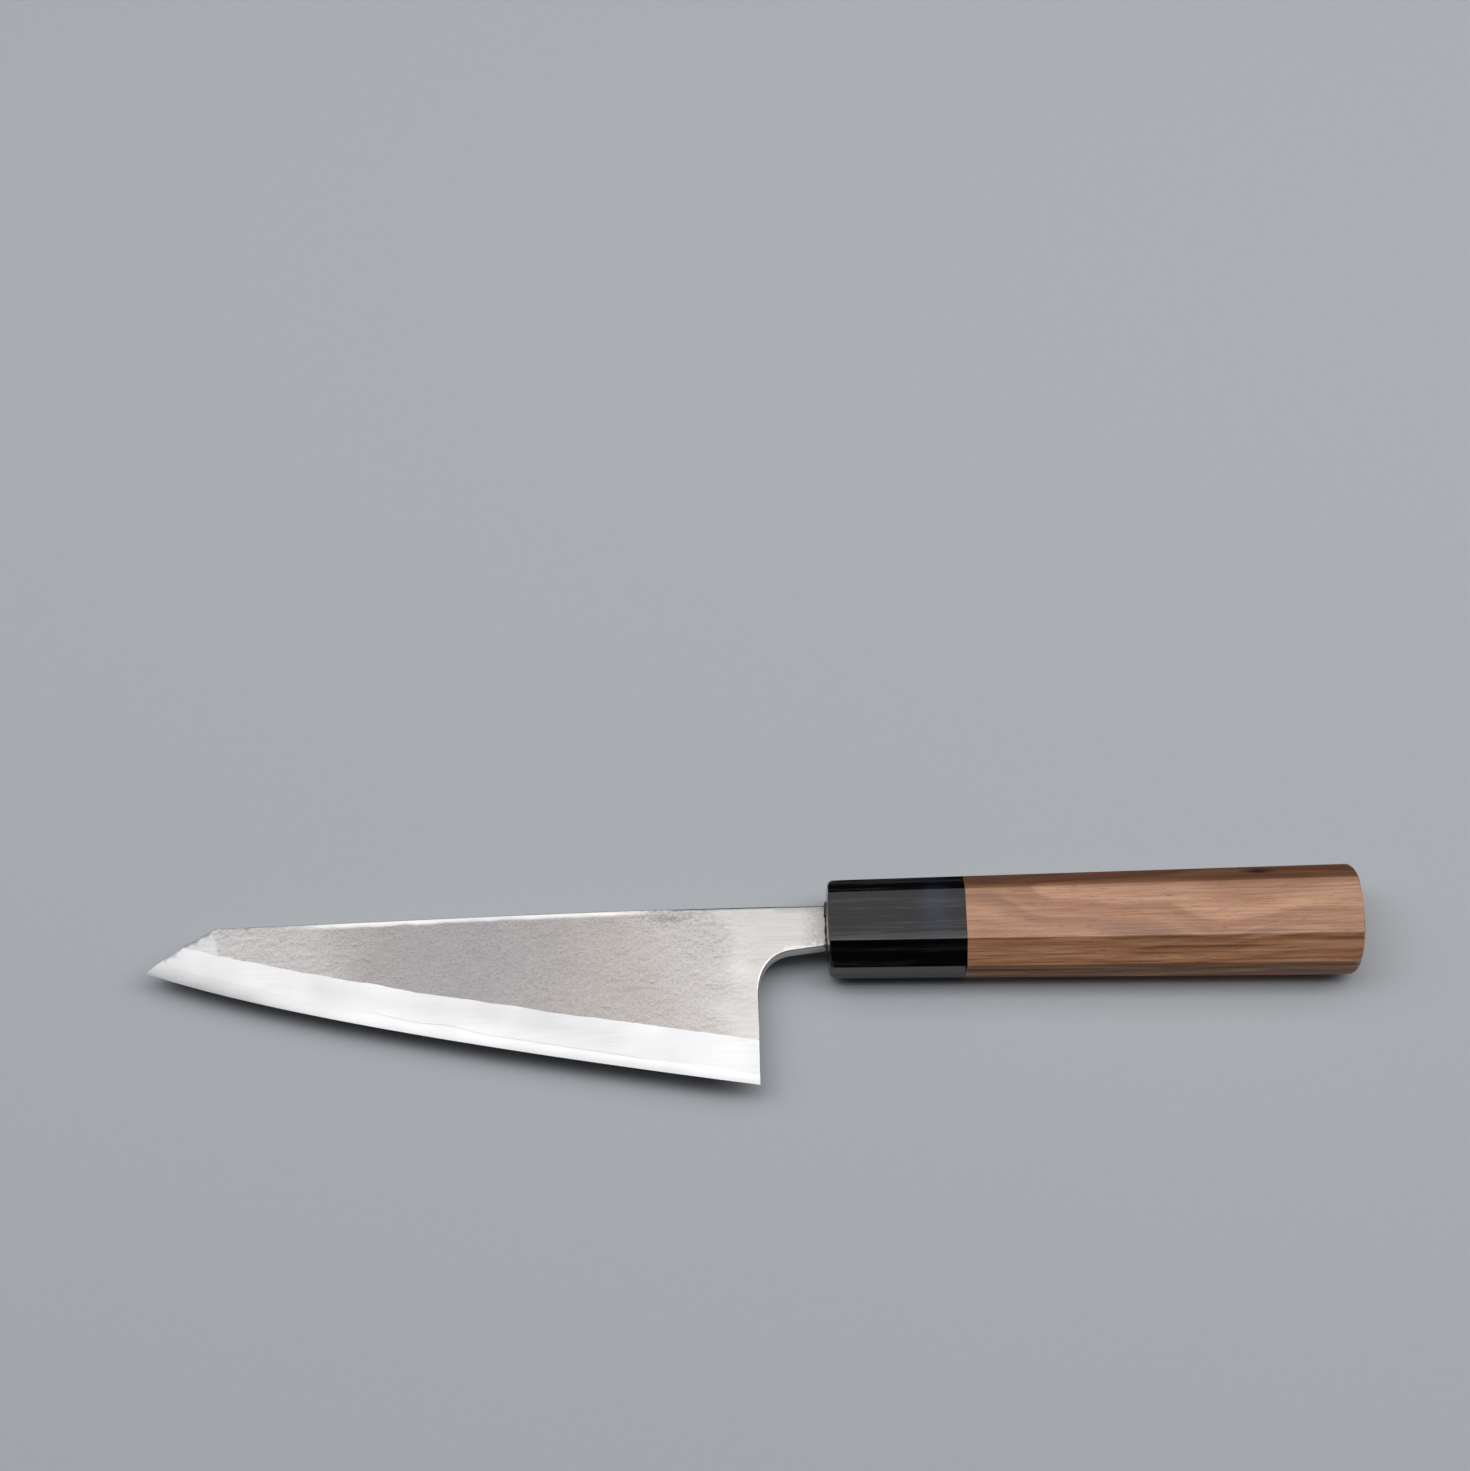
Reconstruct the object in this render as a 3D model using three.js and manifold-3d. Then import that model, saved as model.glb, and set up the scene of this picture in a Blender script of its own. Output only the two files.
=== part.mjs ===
// Honesuki knife with a wa handle: a laminated triangular blade with an angled point, let into an
// octagonal handle of horn and walnut. Millimetres, +Z up.
// The knife lies on its right face. The handle's axis runs along X towards the butt, +Y goes from the
// cutting edge to the spine, and Z is the blade's thickness. While it is being built, the origin is on
// the handle's axis at the front of the ferrule, and the blade lies towards -X.
import * as THREE from 'three';
import { mergeVertices } from 'three/addons/utils/BufferGeometryUtils.js';
import Module from 'manifold-3d';

// Blade outline, seen on its left face
const edgeLength = 150; // from the heel's corner straight to the tip
const neckLength = 16.5; // from the ferrule to the heel's end face
const heelDepth = 38.6; // heel's corner below the handle's axis
const tipDepth = 7.8; // tip below the axis
const pointLength = 16.5; // run of the angled cut along the blade
const pointRise = 2.95; // where the angled cut meets the spine, above the axis
const pointBow = 0.5; // how far the cut swells past a straight line
const pointBowShare = 0.3; // where it swells most sharply, from the tip
const spineRise = 5.45; // spine above the axis at the ferrule
const neckDepth = 5.05; // neck's underside below the axis at the ferrule
const neckFlare = 1; // how far the underside has dropped where the choil begins
const choilRun = 8.3; // reach of the choil's curve along the neck
const choilDrop = 10.4; // reach of the choil's curve down the heel
// Control points of the two long curves, as shares of their run and of their drop
const edgeBowShares = [[0.131, 0.224], [0.382, 0.545]]; // from the tip to the heel
const spineBowShares = [[0.33, -0.15], [0.67, 0.56]]; // from the ferrule to the point

// Blade thickness and grinds
const neckThickness = 4.2;
const pointThickness = 2.4; // spine where the angled cut begins
const roadThicknessShares = [0.88, 0.97]; // top of the wide bevel at heel and point, of the spine there
const bevelRise = 10.8; // top of the wide bevel above the edge at the heel
const pointBevelRise = 9; // the same above the edge at the tip
const bevelFadePower = 3; // the bevel keeps its width and narrows only near the point
const edgeBevelWidth = 0.7; // the small honed bevel
const edgeBevelThickness = 0.3; // blade at the top of the honed bevel
const edgeLand = 0.04; // what is left at the very edge
const spineEase = 0.7; // radius on the spine's two arrises
const neckEase = 0.4; // chamfer round the neck, the choil and the tang
const coreThickness = 0.9; // hard steel layer in the middle

// Tang
const tangLength = 86; // behind its shoulders
const tangHeight = 8.4;
const tangEndHeight = 5;
const tangEndThickness = 2.2;
const tangPointLength = 5;
const tangPointHeight = 2.6;

// Handle: a tapered octagon, taller than it is thick, with turned ends
const handleLength = 128.5;
const ferruleLength = 33.4;
const frontHeight = 22.35;
const frontThickness = 17.7;
const frontCorner = 5.04; // leg of the 45 degree facets
const buttHeight = 24.97;
const buttThickness = 20.2;
const buttCorner = 5.42;
const frontDomeRadius = 90;
const frontRimRadius = 2;
const buttDomeRadius = 70;
const buttRimRadius = 2.6;
const rimMargin = 0.3; // how far the turned ends clear the octagon's corners

// Joint inside the handle
const webThickness = 6; // front wall of the ferrule, which the neck passes through
const dowelDiameter = 12;
const dowelLength = 99;
const dowelChamfer = 0.8;
const drillPointAngle = THREE.MathUtils.degToRad(59); // half angle of the drill's point
const glueGap = 0.3; // round the dowel, past its end, and round the tang
const resinWall = 0.9; // resin between the neck and the ferrule's mouth
const resinBead = 0.6; // how far the resin stands out of the mouth
const mouthCorner = 0.8; // radius in the mouth's corners

const cutOverrun = 4; // how far cutting bodies reach past what they cut
const edgeSteps = 40;
const curveSteps = 10;
const roundSteps = 72;
const easeSteps = 3; // facets round one arris of the spine
const halvings = 40; // of the search for a place along a curve

const axes = {
  x: new THREE.Vector3(1, 0, 0),
  y: new THREE.Vector3(0, 1, 0),
  z: new THREE.Vector3(0, 0, 1),
};
const { lerp, clamp } = THREE.MathUtils;

// Places that several pieces share
const heelX = -neckLength;
const tip = new THREE.Vector2(heelX - Math.sqrt(edgeLength ** 2 - (heelDepth - tipDepth) ** 2), -tipDepth);
const heel = new THREE.Vector2(heelX, -heelDepth);
const pointCorner = new THREE.Vector2(tip.x + pointLength, pointRise);
const shoulderX = webThickness; // the tang's shoulders bear on the dowel's front end
const tangEndX = shoulderX + tangLength;
const dowelEndX = webThickness + dowelLength;
const mouthX = -resinBead;
const boreRadius = dowelDiameter / 2 + glueGap;

const wasm = await Module();
wasm.setup();

function toSolid(geometry) {
  const bare = geometry.clone();
  bare.deleteAttribute('normal');
  bare.deleteAttribute('uv');
  const merged = mergeVertices(bare);
  const triVerts = [];
  for (let i = 0; i < merged.index.count; i += 3) {
    const [a, b, c] = [0, 1, 2].map((k) => merged.index.getX(i + k));
    if (a !== b && b !== c && c !== a) triVerts.push(a, b, c); // a pole of a revolve has empty triangles
  }
  const mesh = new wasm.Mesh({
    numProp: 3,
    vertProperties: new Float32Array(merged.attributes.position.array),
    triVerts: new Uint32Array(triVerts),
  });
  return new wasm.Manifold(mesh);
}

function toGeometry(solid) {
  const mesh = solid.getMesh();
  const geometry = new THREE.BufferGeometry();
  geometry.setAttribute('position', new THREE.BufferAttribute(new Float32Array(mesh.vertProperties), 3));
  geometry.setIndex(new THREE.BufferAttribute(new Uint32Array(mesh.triVerts), 1));
  geometry.computeVertexNormals();
  return geometry;
}

// A body through sections [x, [[y, z], ...]] that run counter-clockwise seen from +X
function loft(sections) {
  const count = sections[0][1].length;
  const positions = sections.flatMap(([x, outline]) => outline.flatMap(([y, z]) => [x, y, z]));
  const index = [];
  for (let s = 0; s < sections.length - 1; s += 1) {
    for (let i = 0; i < count; i += 1) {
      const a = s * count + i;
      const b = s * count + (i + 1) % count;
      index.push(a, b, a + count, b, b + count, a + count);
    }
  }
  const last = (sections.length - 1) * count;
  for (let i = 1; i < count - 1; i += 1) {
    index.push(0, i + 1, i, last, last + i, last + i + 1);
  }
  const geometry = new THREE.BufferGeometry();
  geometry.setAttribute('position', new THREE.Float32BufferAttribute(positions, 3));
  geometry.setIndex(index);
  return geometry;
}

// A flat outline in Y and Z, drawn out along X
function prism(shape, fromX, toX) {
  const geometry = new THREE.ExtrudeGeometry(shape, {
    depth: toX - fromX, bevelEnabled: false, curveSegments: curveSteps,
  });
  geometry.applyMatrix4(new THREE.Matrix4().makeBasis(axes.y, axes.z, axes.x));
  return geometry.translate(fromX, 0, 0);
}

// A profile of [radius, x] points turned about the handle's axis
function turned(profile) {
  const points = profile.map(([radius, x]) => new THREE.Vector2(radius, x));
  const geometry = new THREE.LatheGeometry(points, roundSteps);
  return geometry.applyMatrix4(new THREE.Matrix4().makeBasis(axes.z, axes.x, axes.y));
}

function rectangle(lowY, highY, halfZ, corner) {
  const shape = new THREE.Shape();
  shape.moveTo(lowY + corner, -halfZ);
  shape.lineTo(highY - corner, -halfZ);
  shape.absarc(highY - corner, -halfZ + corner, corner, -Math.PI / 2, 0);
  shape.absarc(highY - corner, halfZ - corner, corner, 0, Math.PI / 2);
  shape.absarc(lowY + corner, halfZ - corner, corner, Math.PI / 2, Math.PI);
  shape.absarc(lowY + corner, -halfZ + corner, corner, Math.PI, Math.PI * 1.5);
  return shape;
}

// A long gentle curve whose two control points are shares of its run and of its drop
function bowed(from, to, shares) {
  const control = shares.map(([runShare, dropShare]) => new THREE.Vector2(
    lerp(from.x, to.x, runShare),
    lerp(from.y, to.y, dropShare),
  ));
  return new THREE.CubicBezierCurve(from, ...control, to);
}

function heightAt(curve, x) {
  let [low, high] = [0, 1];
  const rising = curve.getPoint(1).x > curve.getPoint(0).x;
  for (let i = 0; i < halvings; i += 1) {
    const middle = (low + high) / 2;
    if ((curve.getPoint(middle).x < x) === rising) low = middle;
    else high = middle;
  }
  return curve.getPoint(low).y;
}

const edgeCurve = bowed(tip, heel, edgeBowShares);
const spineCurve = bowed(new THREE.Vector2(mouthX, spineRise), pointCorner, spineBowShares);

function bladeOutline() {
  const top = spineRise + cutOverrun;
  const bottom = -heelDepth - cutOverrun;
  const cut = new THREE.Vector2().subVectors(pointCorner, tip);
  const along = cut.clone().normalize();
  const outwards = new THREE.Vector2(-along.y, along.x);
  const swell = tip.clone().addScaledVector(cut, pointBowShare).addScaledVector(outwards, 2 * pointBow);
  const beyond = new THREE.Vector2().subVectors(tip, swell).normalize();
  const past = tip.clone().addScaledVector(beyond, cutOverrun);
  const before = new THREE.Vector2().subVectors(pointCorner, swell);
  const above = pointCorner.clone().addScaledVector(before, (top - pointCorner.y) / before.y);
  const choilTop = -neckDepth - neckFlare;
  const flareSlope = neckFlare / (neckLength - choilRun - resinBead);
  const choilCornerY = choilTop - flareSlope * choilRun;

  const shape = new THREE.Shape();
  shape.moveTo(above.x, above.y);
  shape.lineTo(pointCorner.x, pointCorner.y);
  shape.quadraticCurveTo(swell.x, swell.y, tip.x, tip.y);
  shape.lineTo(past.x, past.y);
  shape.lineTo(past.x, bottom);
  shape.lineTo(heelX, bottom);
  shape.lineTo(heelX, choilCornerY - choilDrop);
  shape.quadraticCurveTo(heelX, choilCornerY, heelX + choilRun, choilTop);
  shape.lineTo(mouthX, -neckDepth);
  shape.lineTo(shoulderX, -neckDepth);
  shape.lineTo(shoulderX, -tangHeight / 2);
  shape.lineTo(tangEndX - tangPointLength, -tangEndHeight / 2);
  shape.lineTo(tangEndX, -tangPointHeight / 2);
  shape.lineTo(tangEndX, tangPointHeight / 2);
  shape.lineTo(tangEndX - tangPointLength, tangEndHeight / 2);
  shape.lineTo(shoulderX, tangHeight / 2);
  shape.lineTo(shoulderX, top);
  shape.closePath();
  return shape;
}

// The blank as cut from the bar. Its arrises are chamfered, and the flats cut that chamfer in half.
function bladeBlank() {
  const chamfer = 2 * neckEase;
  const straight = neckThickness - 2 * neckEase;
  const geometry = new THREE.ExtrudeGeometry(bladeOutline(), {
    depth: straight, bevelEnabled: true, bevelThickness: chamfer, bevelSize: chamfer, bevelOffset: -chamfer,
    bevelSegments: 1, curveSegments: curveSteps,
  });
  return geometry.translate(0, 0, -straight / 2);
}

function spineThicknessAt(x) {
  if (x > shoulderX) return lerp(neckThickness, tangEndThickness, (x - shoulderX) / tangLength);
  if (x > heelX) return neckThickness;
  return lerp(neckThickness, pointThickness, (heelX - x) / (heelX - pointCorner.x));
}

// One slice across the ground blade: rounded spine, flat, wide bevel and honed bevel, on both faces
function groundSection(x, edgeY) {
  const reach = clamp((heelX - x) / (heelX - tip.x), 0, 1);
  const half = spineThicknessAt(x) / 2;
  const roadHalf = half * lerp(...roadThicknessShares, reach);
  const roadY = edgeY + lerp(bevelRise, pointBevelRise, reach ** bevelFadePower);
  const spineY = heightAt(spineCurve, x);
  const ease = Math.min(spineEase, half);
  const upper = [];
  for (let i = 0; i <= easeSteps; i += 1) {
    const angle = Math.PI / 2 * i / easeSteps;
    upper.push([spineY - ease + ease * Math.cos(angle), half - ease + ease * Math.sin(angle)]);
  }
  upper.push([roadY, roadHalf], [edgeY + edgeBevelWidth, edgeBevelThickness / 2], [edgeY, edgeLand / 2]);
  const lower = upper.map(([y, z]) => [y, -z]).reverse();
  return [x, [...upper, ...lower]];
}

function groundBody() {
  const ahead = tip.clone().addScaledVector(edgeCurve.getTangent(0), -cutOverrun);
  const edge = [ahead, ...edgeCurve.getSpacedPoints(edgeSteps)];
  const sections = edge.map((point) => groundSection(point.x, point.y));
  for (const x of [mouthX, shoulderX, tangEndX + cutOverrun]) sections.push(groundSection(x, -heelDepth));
  return loft(sections);
}

// Everything with z between the two heights, wide enough for the whole blade
function layer(lowZ, highZ) {
  const length = tangEndX - tip.x + 2 * cutOverrun;
  const width = 2 * (heelDepth + cutOverrun);
  const box = new THREE.BoxGeometry(length, width, highZ - lowZ);
  return box.translate((tangEndX + tip.x) / 2, 0, (lowZ + highZ) / 2);
}

function octagon(height, thickness, corner) {
  const [h, t] = [height / 2, thickness / 2];
  return [
    [h, corner - t], [h, t - corner], [h - corner, t], [corner - h, t],
    [-h, t - corner], [-h, corner - t], [corner - h, -t], [h - corner, -t],
  ];
}

// The tapered octagon at any place along the handle
function handleSection(x) {
  const reach = x / handleLength;
  const size = [[frontHeight, buttHeight], [frontThickness, buttThickness], [frontCorner, buttCorner]];
  return [x, octagon(...size.map(([front, butt]) => lerp(front, butt, reach)))];
}

// One turned end: a shallow dome that rolls over into a rim, as [radius, depth from the apex]
function endProfile(domeRadius, rimRadius, outerRadius) {
  const rimCentre = outerRadius - rimRadius;
  const meeting = Math.asin(rimCentre / (domeRadius - rimRadius));
  const rimDepth = domeRadius - (domeRadius - rimRadius) * Math.cos(meeting);
  const points = [];
  for (let i = 0; i <= curveSteps; i += 1) {
    const angle = meeting * i / curveSteps;
    points.push([domeRadius * Math.sin(angle), domeRadius * (1 - Math.cos(angle))]);
  }
  for (let i = 1; i <= curveSteps; i += 1) {
    const angle = lerp(meeting, Math.PI / 2, i / curveSteps);
    points.push([rimCentre + rimRadius * Math.sin(angle), rimDepth - rimRadius * Math.cos(angle)]);
  }
  return points;
}

// Radius that just clears an octagon's corners
function cornerReach(height, thickness, corner) {
  return Math.hypot(height / 2, thickness / 2 - corner) + rimMargin;
}

function handleEnvelope() {
  const frontReach = cornerReach(frontHeight, frontThickness, frontCorner);
  const buttReach = cornerReach(buttHeight, buttThickness, buttCorner);
  const front = endProfile(frontDomeRadius, frontRimRadius, frontReach);
  const butt = endProfile(buttDomeRadius, buttRimRadius, buttReach);
  return turned([...front, ...butt.map(([radius, depth]) => [radius, handleLength - depth]).reverse()]);
}

function dowelBody() {
  const radius = dowelDiameter / 2;
  return turned([
    [0, webThickness], [radius - dowelChamfer, webThickness], [radius, webThickness + dowelChamfer],
    [radius, dowelEndX - dowelChamfer], [radius - dowelChamfer, dowelEndX], [0, dowelEndX],
  ]);
}

// The drilled hole that the dowel is glued into, from the ferrule's front wall to the walnut's blind end
function dowelBore() {
  const endX = dowelEndX + glueGap;
  const drillPoint = boreRadius / Math.tan(drillPointAngle);
  const rim = [[boreRadius, webThickness], [boreRadius, endX]];
  return turned([[0, webThickness], ...rim, [0, endX + drillPoint]]);
}

// The tapered slot that the tang is let into
function tangSlot() {
  const slotSection = (x) => {
    const reach = (x - shoulderX) / tangLength;
    const halfY = lerp(tangHeight, tangEndHeight, reach) / 2 + glueGap;
    const halfZ = lerp(neckThickness, tangEndThickness, reach) / 2 + glueGap;
    return [x, [[halfY, -halfZ], [halfY, halfZ], [-halfY, halfZ], [-halfY, -halfZ]]];
  };
  return loft([slotSection(shoulderX - cutOverrun), slotSection(tangEndX + glueGap)]);
}

// The ferrule's mouth: the neck's own section with room for resin all round
function mouthShape() {
  const halfZ = neckThickness / 2 + resinWall;
  return rectangle(-neckDepth - resinWall, spineRise + resinWall, halfZ, mouthCorner);
}

function neckShape() {
  const shape = new THREE.Path();
  const half = neckThickness / 2;
  shape.moveTo(-neckDepth, -half);
  shape.lineTo(-neckDepth, half);
  shape.lineTo(spineRise, half);
  shape.lineTo(spineRise, -half);
  shape.closePath();
  return shape;
}

function resinBody() {
  const shape = mouthShape();
  shape.holes.push(neckShape());
  return prism(shape, mouthX, webThickness);
}

// Everything from the ferrule's joint forwards
function forwardOf(x) {
  const side = 2 * Math.max(buttHeight, buttThickness);
  const box = new THREE.BoxGeometry(x + 2 * cutOverrun, side, side);
  return box.translate(x / 2 - cutOverrun, 0, 0);
}

const blade = toSolid(bladeBlank()).intersect(toSolid(groundBody()));
const halfCore = coreThickness / 2;
const outside = neckThickness / 2 + cutOverrun;

const handle = toSolid(loft([handleSection(-cutOverrun), handleSection(handleLength + cutOverrun)]))
  .intersect(toSolid(handleEnvelope()))
  .subtract(toSolid(dowelBore()));
const ferruleSide = toSolid(forwardOf(ferruleLength));
const mouth = toSolid(prism(mouthShape(), -cutOverrun, webThickness + glueGap));

const pieces = {
  blade_core: [blade.intersect(toSolid(layer(-halfCore, halfCore))), '#dfe1e2', 0.22, 1],
  blade_cladding_left: [blade.intersect(toSolid(layer(halfCore, outside))), '#c9c3bd', 0.45, 1],
  blade_cladding_right: [blade.intersect(toSolid(layer(-outside, -halfCore))), '#c9c3bd', 0.45, 1],
  ferrule: [handle.intersect(ferruleSide).subtract(mouth), '#1d1b1c', 0.25, 0],
  handle_body: [handle.subtract(ferruleSide), '#a3735a', 0.5, 0],
  handle_dowel: [toSolid(dowelBody()).subtract(toSolid(tangSlot())), '#d8c39b', 0.7, 0],
  tang_resin: [toSolid(resinBody()), '#2a2420', 0.3, 0],
};

const knife = new THREE.Group();
for (const [name, [solid, color, roughness, metalness]] of Object.entries(pieces)) {
  const material = new THREE.MeshStandardMaterial({ color, roughness, metalness, flatShading: true });
  const mesh = new THREE.Mesh(toGeometry(solid), material);
  mesh.name = name;
  knife.add(mesh);
}

// The finished knife stands with its origin under the middle of its bounding box
const bounds = new THREE.Box3().setFromObject(knife);
const middle = bounds.getCenter(new THREE.Vector3());
knife.position.set(-middle.x, -middle.y, -bounds.min.z);

export default knife;
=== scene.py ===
# A honesuki knife in a horn and walnut handle, lying on its right face on a plain grey table.
# Every piece is made in millimetres, with x along the handle from the front of the ferrule to the butt,
# y from the cutting edge to the spine and z through the blade, and is then put where the frame has it.
import math

import bmesh
import bpy
import numpy as np
from mathutils import Matrix, Vector, geometry, kdtree


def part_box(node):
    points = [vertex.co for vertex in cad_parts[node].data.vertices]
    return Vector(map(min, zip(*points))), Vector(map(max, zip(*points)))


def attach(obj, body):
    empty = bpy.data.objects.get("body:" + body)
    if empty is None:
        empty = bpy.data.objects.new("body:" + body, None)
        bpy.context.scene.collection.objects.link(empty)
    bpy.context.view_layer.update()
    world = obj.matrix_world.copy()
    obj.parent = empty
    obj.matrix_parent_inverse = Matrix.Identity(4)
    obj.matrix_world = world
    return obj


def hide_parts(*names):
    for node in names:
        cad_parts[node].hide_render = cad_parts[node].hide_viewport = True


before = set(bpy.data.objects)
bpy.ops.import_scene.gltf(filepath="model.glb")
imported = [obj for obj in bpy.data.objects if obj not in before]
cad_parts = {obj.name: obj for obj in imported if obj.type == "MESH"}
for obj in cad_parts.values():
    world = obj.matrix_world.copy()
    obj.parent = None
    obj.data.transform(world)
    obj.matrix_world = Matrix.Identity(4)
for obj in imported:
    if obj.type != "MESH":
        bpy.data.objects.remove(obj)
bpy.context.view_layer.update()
mm = 0.001
mergeGap = 0.0005  # mm within which points of a mesh become one
noiseSide = 256    # values along each side of the noise's table
noiseShift = 1000  # cells, so that no place on the knife is below 0


def lerp(a, b, share):
    return a + (b - a) * share


def smoothStep(low, high, value):
    t = np.clip((value - low) / (high - low), 0, 1)
    return t * t * (3 - 2 * t)


def softNoise(x, y, cell, seed):  # smooth noise from -1 to 1, with bumps about one cell wide
    table = np.random.default_rng(seed).uniform(-1, 1, (noiseSide, noiseSide))
    u, v = x / cell + noiseShift, y / cell + noiseShift
    i, j = np.floor(u).astype(int), np.floor(v).astype(int)
    s, t = u - i, v - j
    s, t = s * s * (3 - 2 * s), t * t * (3 - 2 * t)
    i, j = i % (noiseSide - 1), j % (noiseSide - 1)
    near = lerp(table[i, j], table[i + 1, j], s)
    far = lerp(table[i, j + 1], table[i + 1, j + 1], s)
    return lerp(near, far, t)


def linear(hexCode):
    channels = [int(hexCode[i:i + 2], 16) / 255 for i in (1, 3, 5)]
    return [c / 12.92 if c <= 0.04045 else ((c + 0.055) / 1.055) ** 2.4 for c in channels] + [1]


# An input is a value, a hex colour, a socket or a whole node, which gives its first enabled output.
# A Mix node's factor is its input 0, its two vectors are 4 and 5 and its two colours 6 and 7.
def addNode(tree, kind, inputs=None, stops=(), **settings):
    node = tree.nodes.new(kind)
    for name, value in settings.items():
        setattr(node, name, value)
    for key, value in (inputs or {}).items():
        if isinstance(value, bpy.types.Node):
            value = next(socket for socket in value.outputs if socket.enabled)
        if isinstance(value, bpy.types.NodeSocket):
            tree.links.new(value, node.inputs[key])
        else:
            node.inputs[key].default_value = linear(value) if isinstance(value, str) else value
    for index, (position, colour) in enumerate(stops):
        band = node.color_ramp.elements
        element = band[index] if index < len(band) else band.new(position)
        element.position, element.color = position, linear(colour)
    return node


def newMaterial(name):  # also gives the place on the knife in millimetres
    material = bpy.data.materials.new(name)
    material.use_nodes = True
    tree = material.node_tree
    tree.nodes.clear()
    local = addNode(tree, "ShaderNodeMapping", {
        "Vector": addNode(tree, "ShaderNodeTexCoord").outputs["Object"],
        "Scale": (1 / mm, 1 / mm, 1 / mm), "Location": -place / mm,
    })
    return material, tree, local


# Noise whose bumps have this size along the knife, across it and through it, in millimetres
def grainOf(tree, local, size, **inputs):
    drawn = addNode(tree, "ShaderNodeMapping", {"Vector": local, "Scale": [1 / side for side in size]})
    return addNode(tree, "ShaderNodeTexNoise", {"Vector": drawn, "Scale": 1.0, **inputs})


# How far from a centre, where 1 is as far as this size along the knife, across it and through it
def reachFrom(tree, local, centre, size):
    away = addNode(tree, "ShaderNodeVectorMath", {0: local, 1: centre}, operation="SUBTRACT")
    scaled = addNode(tree, "ShaderNodeVectorMath", {0: away, 1: size}, operation="DIVIDE")
    return addNode(tree, "ShaderNodeVectorMath", {0: scaled}, operation="LENGTH")


def finished(material, tree, inputs):
    shader = addNode(tree, "ShaderNodeBsdfPrincipled", inputs)
    addNode(tree, "ShaderNodeOutputMaterial", {"Surface": shader})
    return material


def newPiece(name, mesh, materials, slot, *nodes):
    mesh.transform(toFrame)
    mesh.name = name
    piece = bpy.data.objects.new(name, mesh)
    bpy.context.scene.collection.objects.link(piece)
    for material in materials:
        mesh.materials.append(material)
    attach(piece, "root")
    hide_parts(*nodes)


def evaluated(thing):
    bpy.context.view_layer.update()
    depsgraph = bpy.context.evaluated_depsgraph_get()
    return bpy.data.meshes.new_from_object(thing.evaluated_get(depsgraph))


def facedMesh(name, points, faces):
    mesh = bpy.data.meshes.new(name)
    mesh.from_pydata(points, [], faces)
    work = bmesh.new()
    work.from_mesh(mesh)
    bmesh.ops.remove_doubles(work, verts=work.verts[:], dist=mergeGap)
    bmesh.ops.recalc_face_normals(work, faces=work.faces[:])
    work.to_mesh(mesh)
    work.free()
    return mesh


def readOut(things, field, width=1):
    values = np.zeros(len(things) * width)
    things.foreach_get(field, values)
    return values.reshape(-1, width) if width > 1 else values


handle = {
    "length": 128.5,
    "frontHeight": 22.35, "frontThickness": 17.7, "frontCorner": 5.04,
    "buttHeight": 24.97, "buttThickness": 20.2, "buttCorner": 5.42,
    "frontDomeRadius": 90, "frontRimRadius": 2, "buttDomeRadius": 70, "buttRimRadius": 2.6,
    "rimMargin": 0.3,
    "arrisRadius": 0.3,   # the eight long edges are broken with fine paper
    "arrisSteps": 4,
    "endSharpness": 70,   # the higher, the crisper the edge between a facet and a turned end
    "turnedCap": 1.5,     # how far outside the octagon the turned profile still counts
    "facetCuts": 5,       # extra points across each facet
    "ringMerge": 0.002,   # mm within which the points of the closed rings become one
    "domeSteps": 40, "rimSteps": 24, "lengthSteps": 40, "boreSteps": 64, "cornerSteps": 8,
    "creaseAngle": 50,    # degrees, past which an edge is drawn sharp
    "ferruleLength": 33.4,
    "webThickness": 6,    # front wall of the ferrule
    "boreRadius": 6.3, "boreEnd": 105.3, "drillPoint": 3.8, "drillTipRadius": 0.05,
    "mouthWall": 0.9,     # room for resin round the neck
    "mouthCorner": 0.8,
    "overrun": 3,         # how far the mouth's tool reaches past the wall
}

blade = {
    "edgeLength": 150, "neckLength": 16.5,
    "heelDepth": 38.6, "tipDepth": 7.8,                          # below the handle's axis
    "pointLength": 16.5, "pointRise": 2.95,                      # where the cut meets the spine
    "pointBow": 0.5, "pointBowShare": 0.3,                       # it bows out, most in its lower half
    "spineRise": 5.45, "neckDepth": 5.05,                        # from the axis, at the ferrule
    "neckFlare": 1, "choilRun": 8.3, "choilDrop": 10.4,
    "edgeBowShares": ((0.131, 0.224), (0.382, 0.545)),
    "spineBowShares": ((0.33, -0.15), (0.67, 0.56)),
    "neckThickness": 4.2, "pointThickness": 2.4,
    "roadHeelShare": 0.88, "roadPointShare": 0.97,  # thickness at the wide bevel's top over the spine's
    "bevelRise": 10.8, "pointBevelRise": 9, "bevelFadePower": 3,  # it narrows only near the point
    "edgeBevelWidth": 0.7, "edgeBevelThickness": 0.3, "edgeLand": 0.04,
    "spineEase": 0.7,            # round on the spine's two arrises towards the neck
    "crispEase": 0.25,           # and along the rest of it
    "spineEaseGrows": (-44, -32),
    "sideEase": 0.5,             # round on the arrises of neck and choil
    "heelEase": 0.12,            # and at the heel
    "sideEaseGrows": (14, 27),   # above the heel's corner
    "cutEase": 0.15,
    "easeShare": 0.9,            # no round takes more than this of the cladding's thickness
    "coreThickness": 0.9,
    "layerWave": 0.05, "layerCell": 9, "layerSeed": 11,  # the forged layers aren't perfectly flat
    "tangLength": 86, "tangHeight": 8.4, "tangEndHeight": 5, "tangEndThickness": 2.2,
    "tangPointLength": 5, "tangPointHeight": 2.6,
    "mouthReach": 0.6,           # how far the resin stands in front of the ferrule
    "edgeSteps": 500, "spineSteps": 450, "curveSteps": 60, "neckSteps": 24,
    "roadRounds": 20,            # rounds in which the flat's border settles
}

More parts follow.
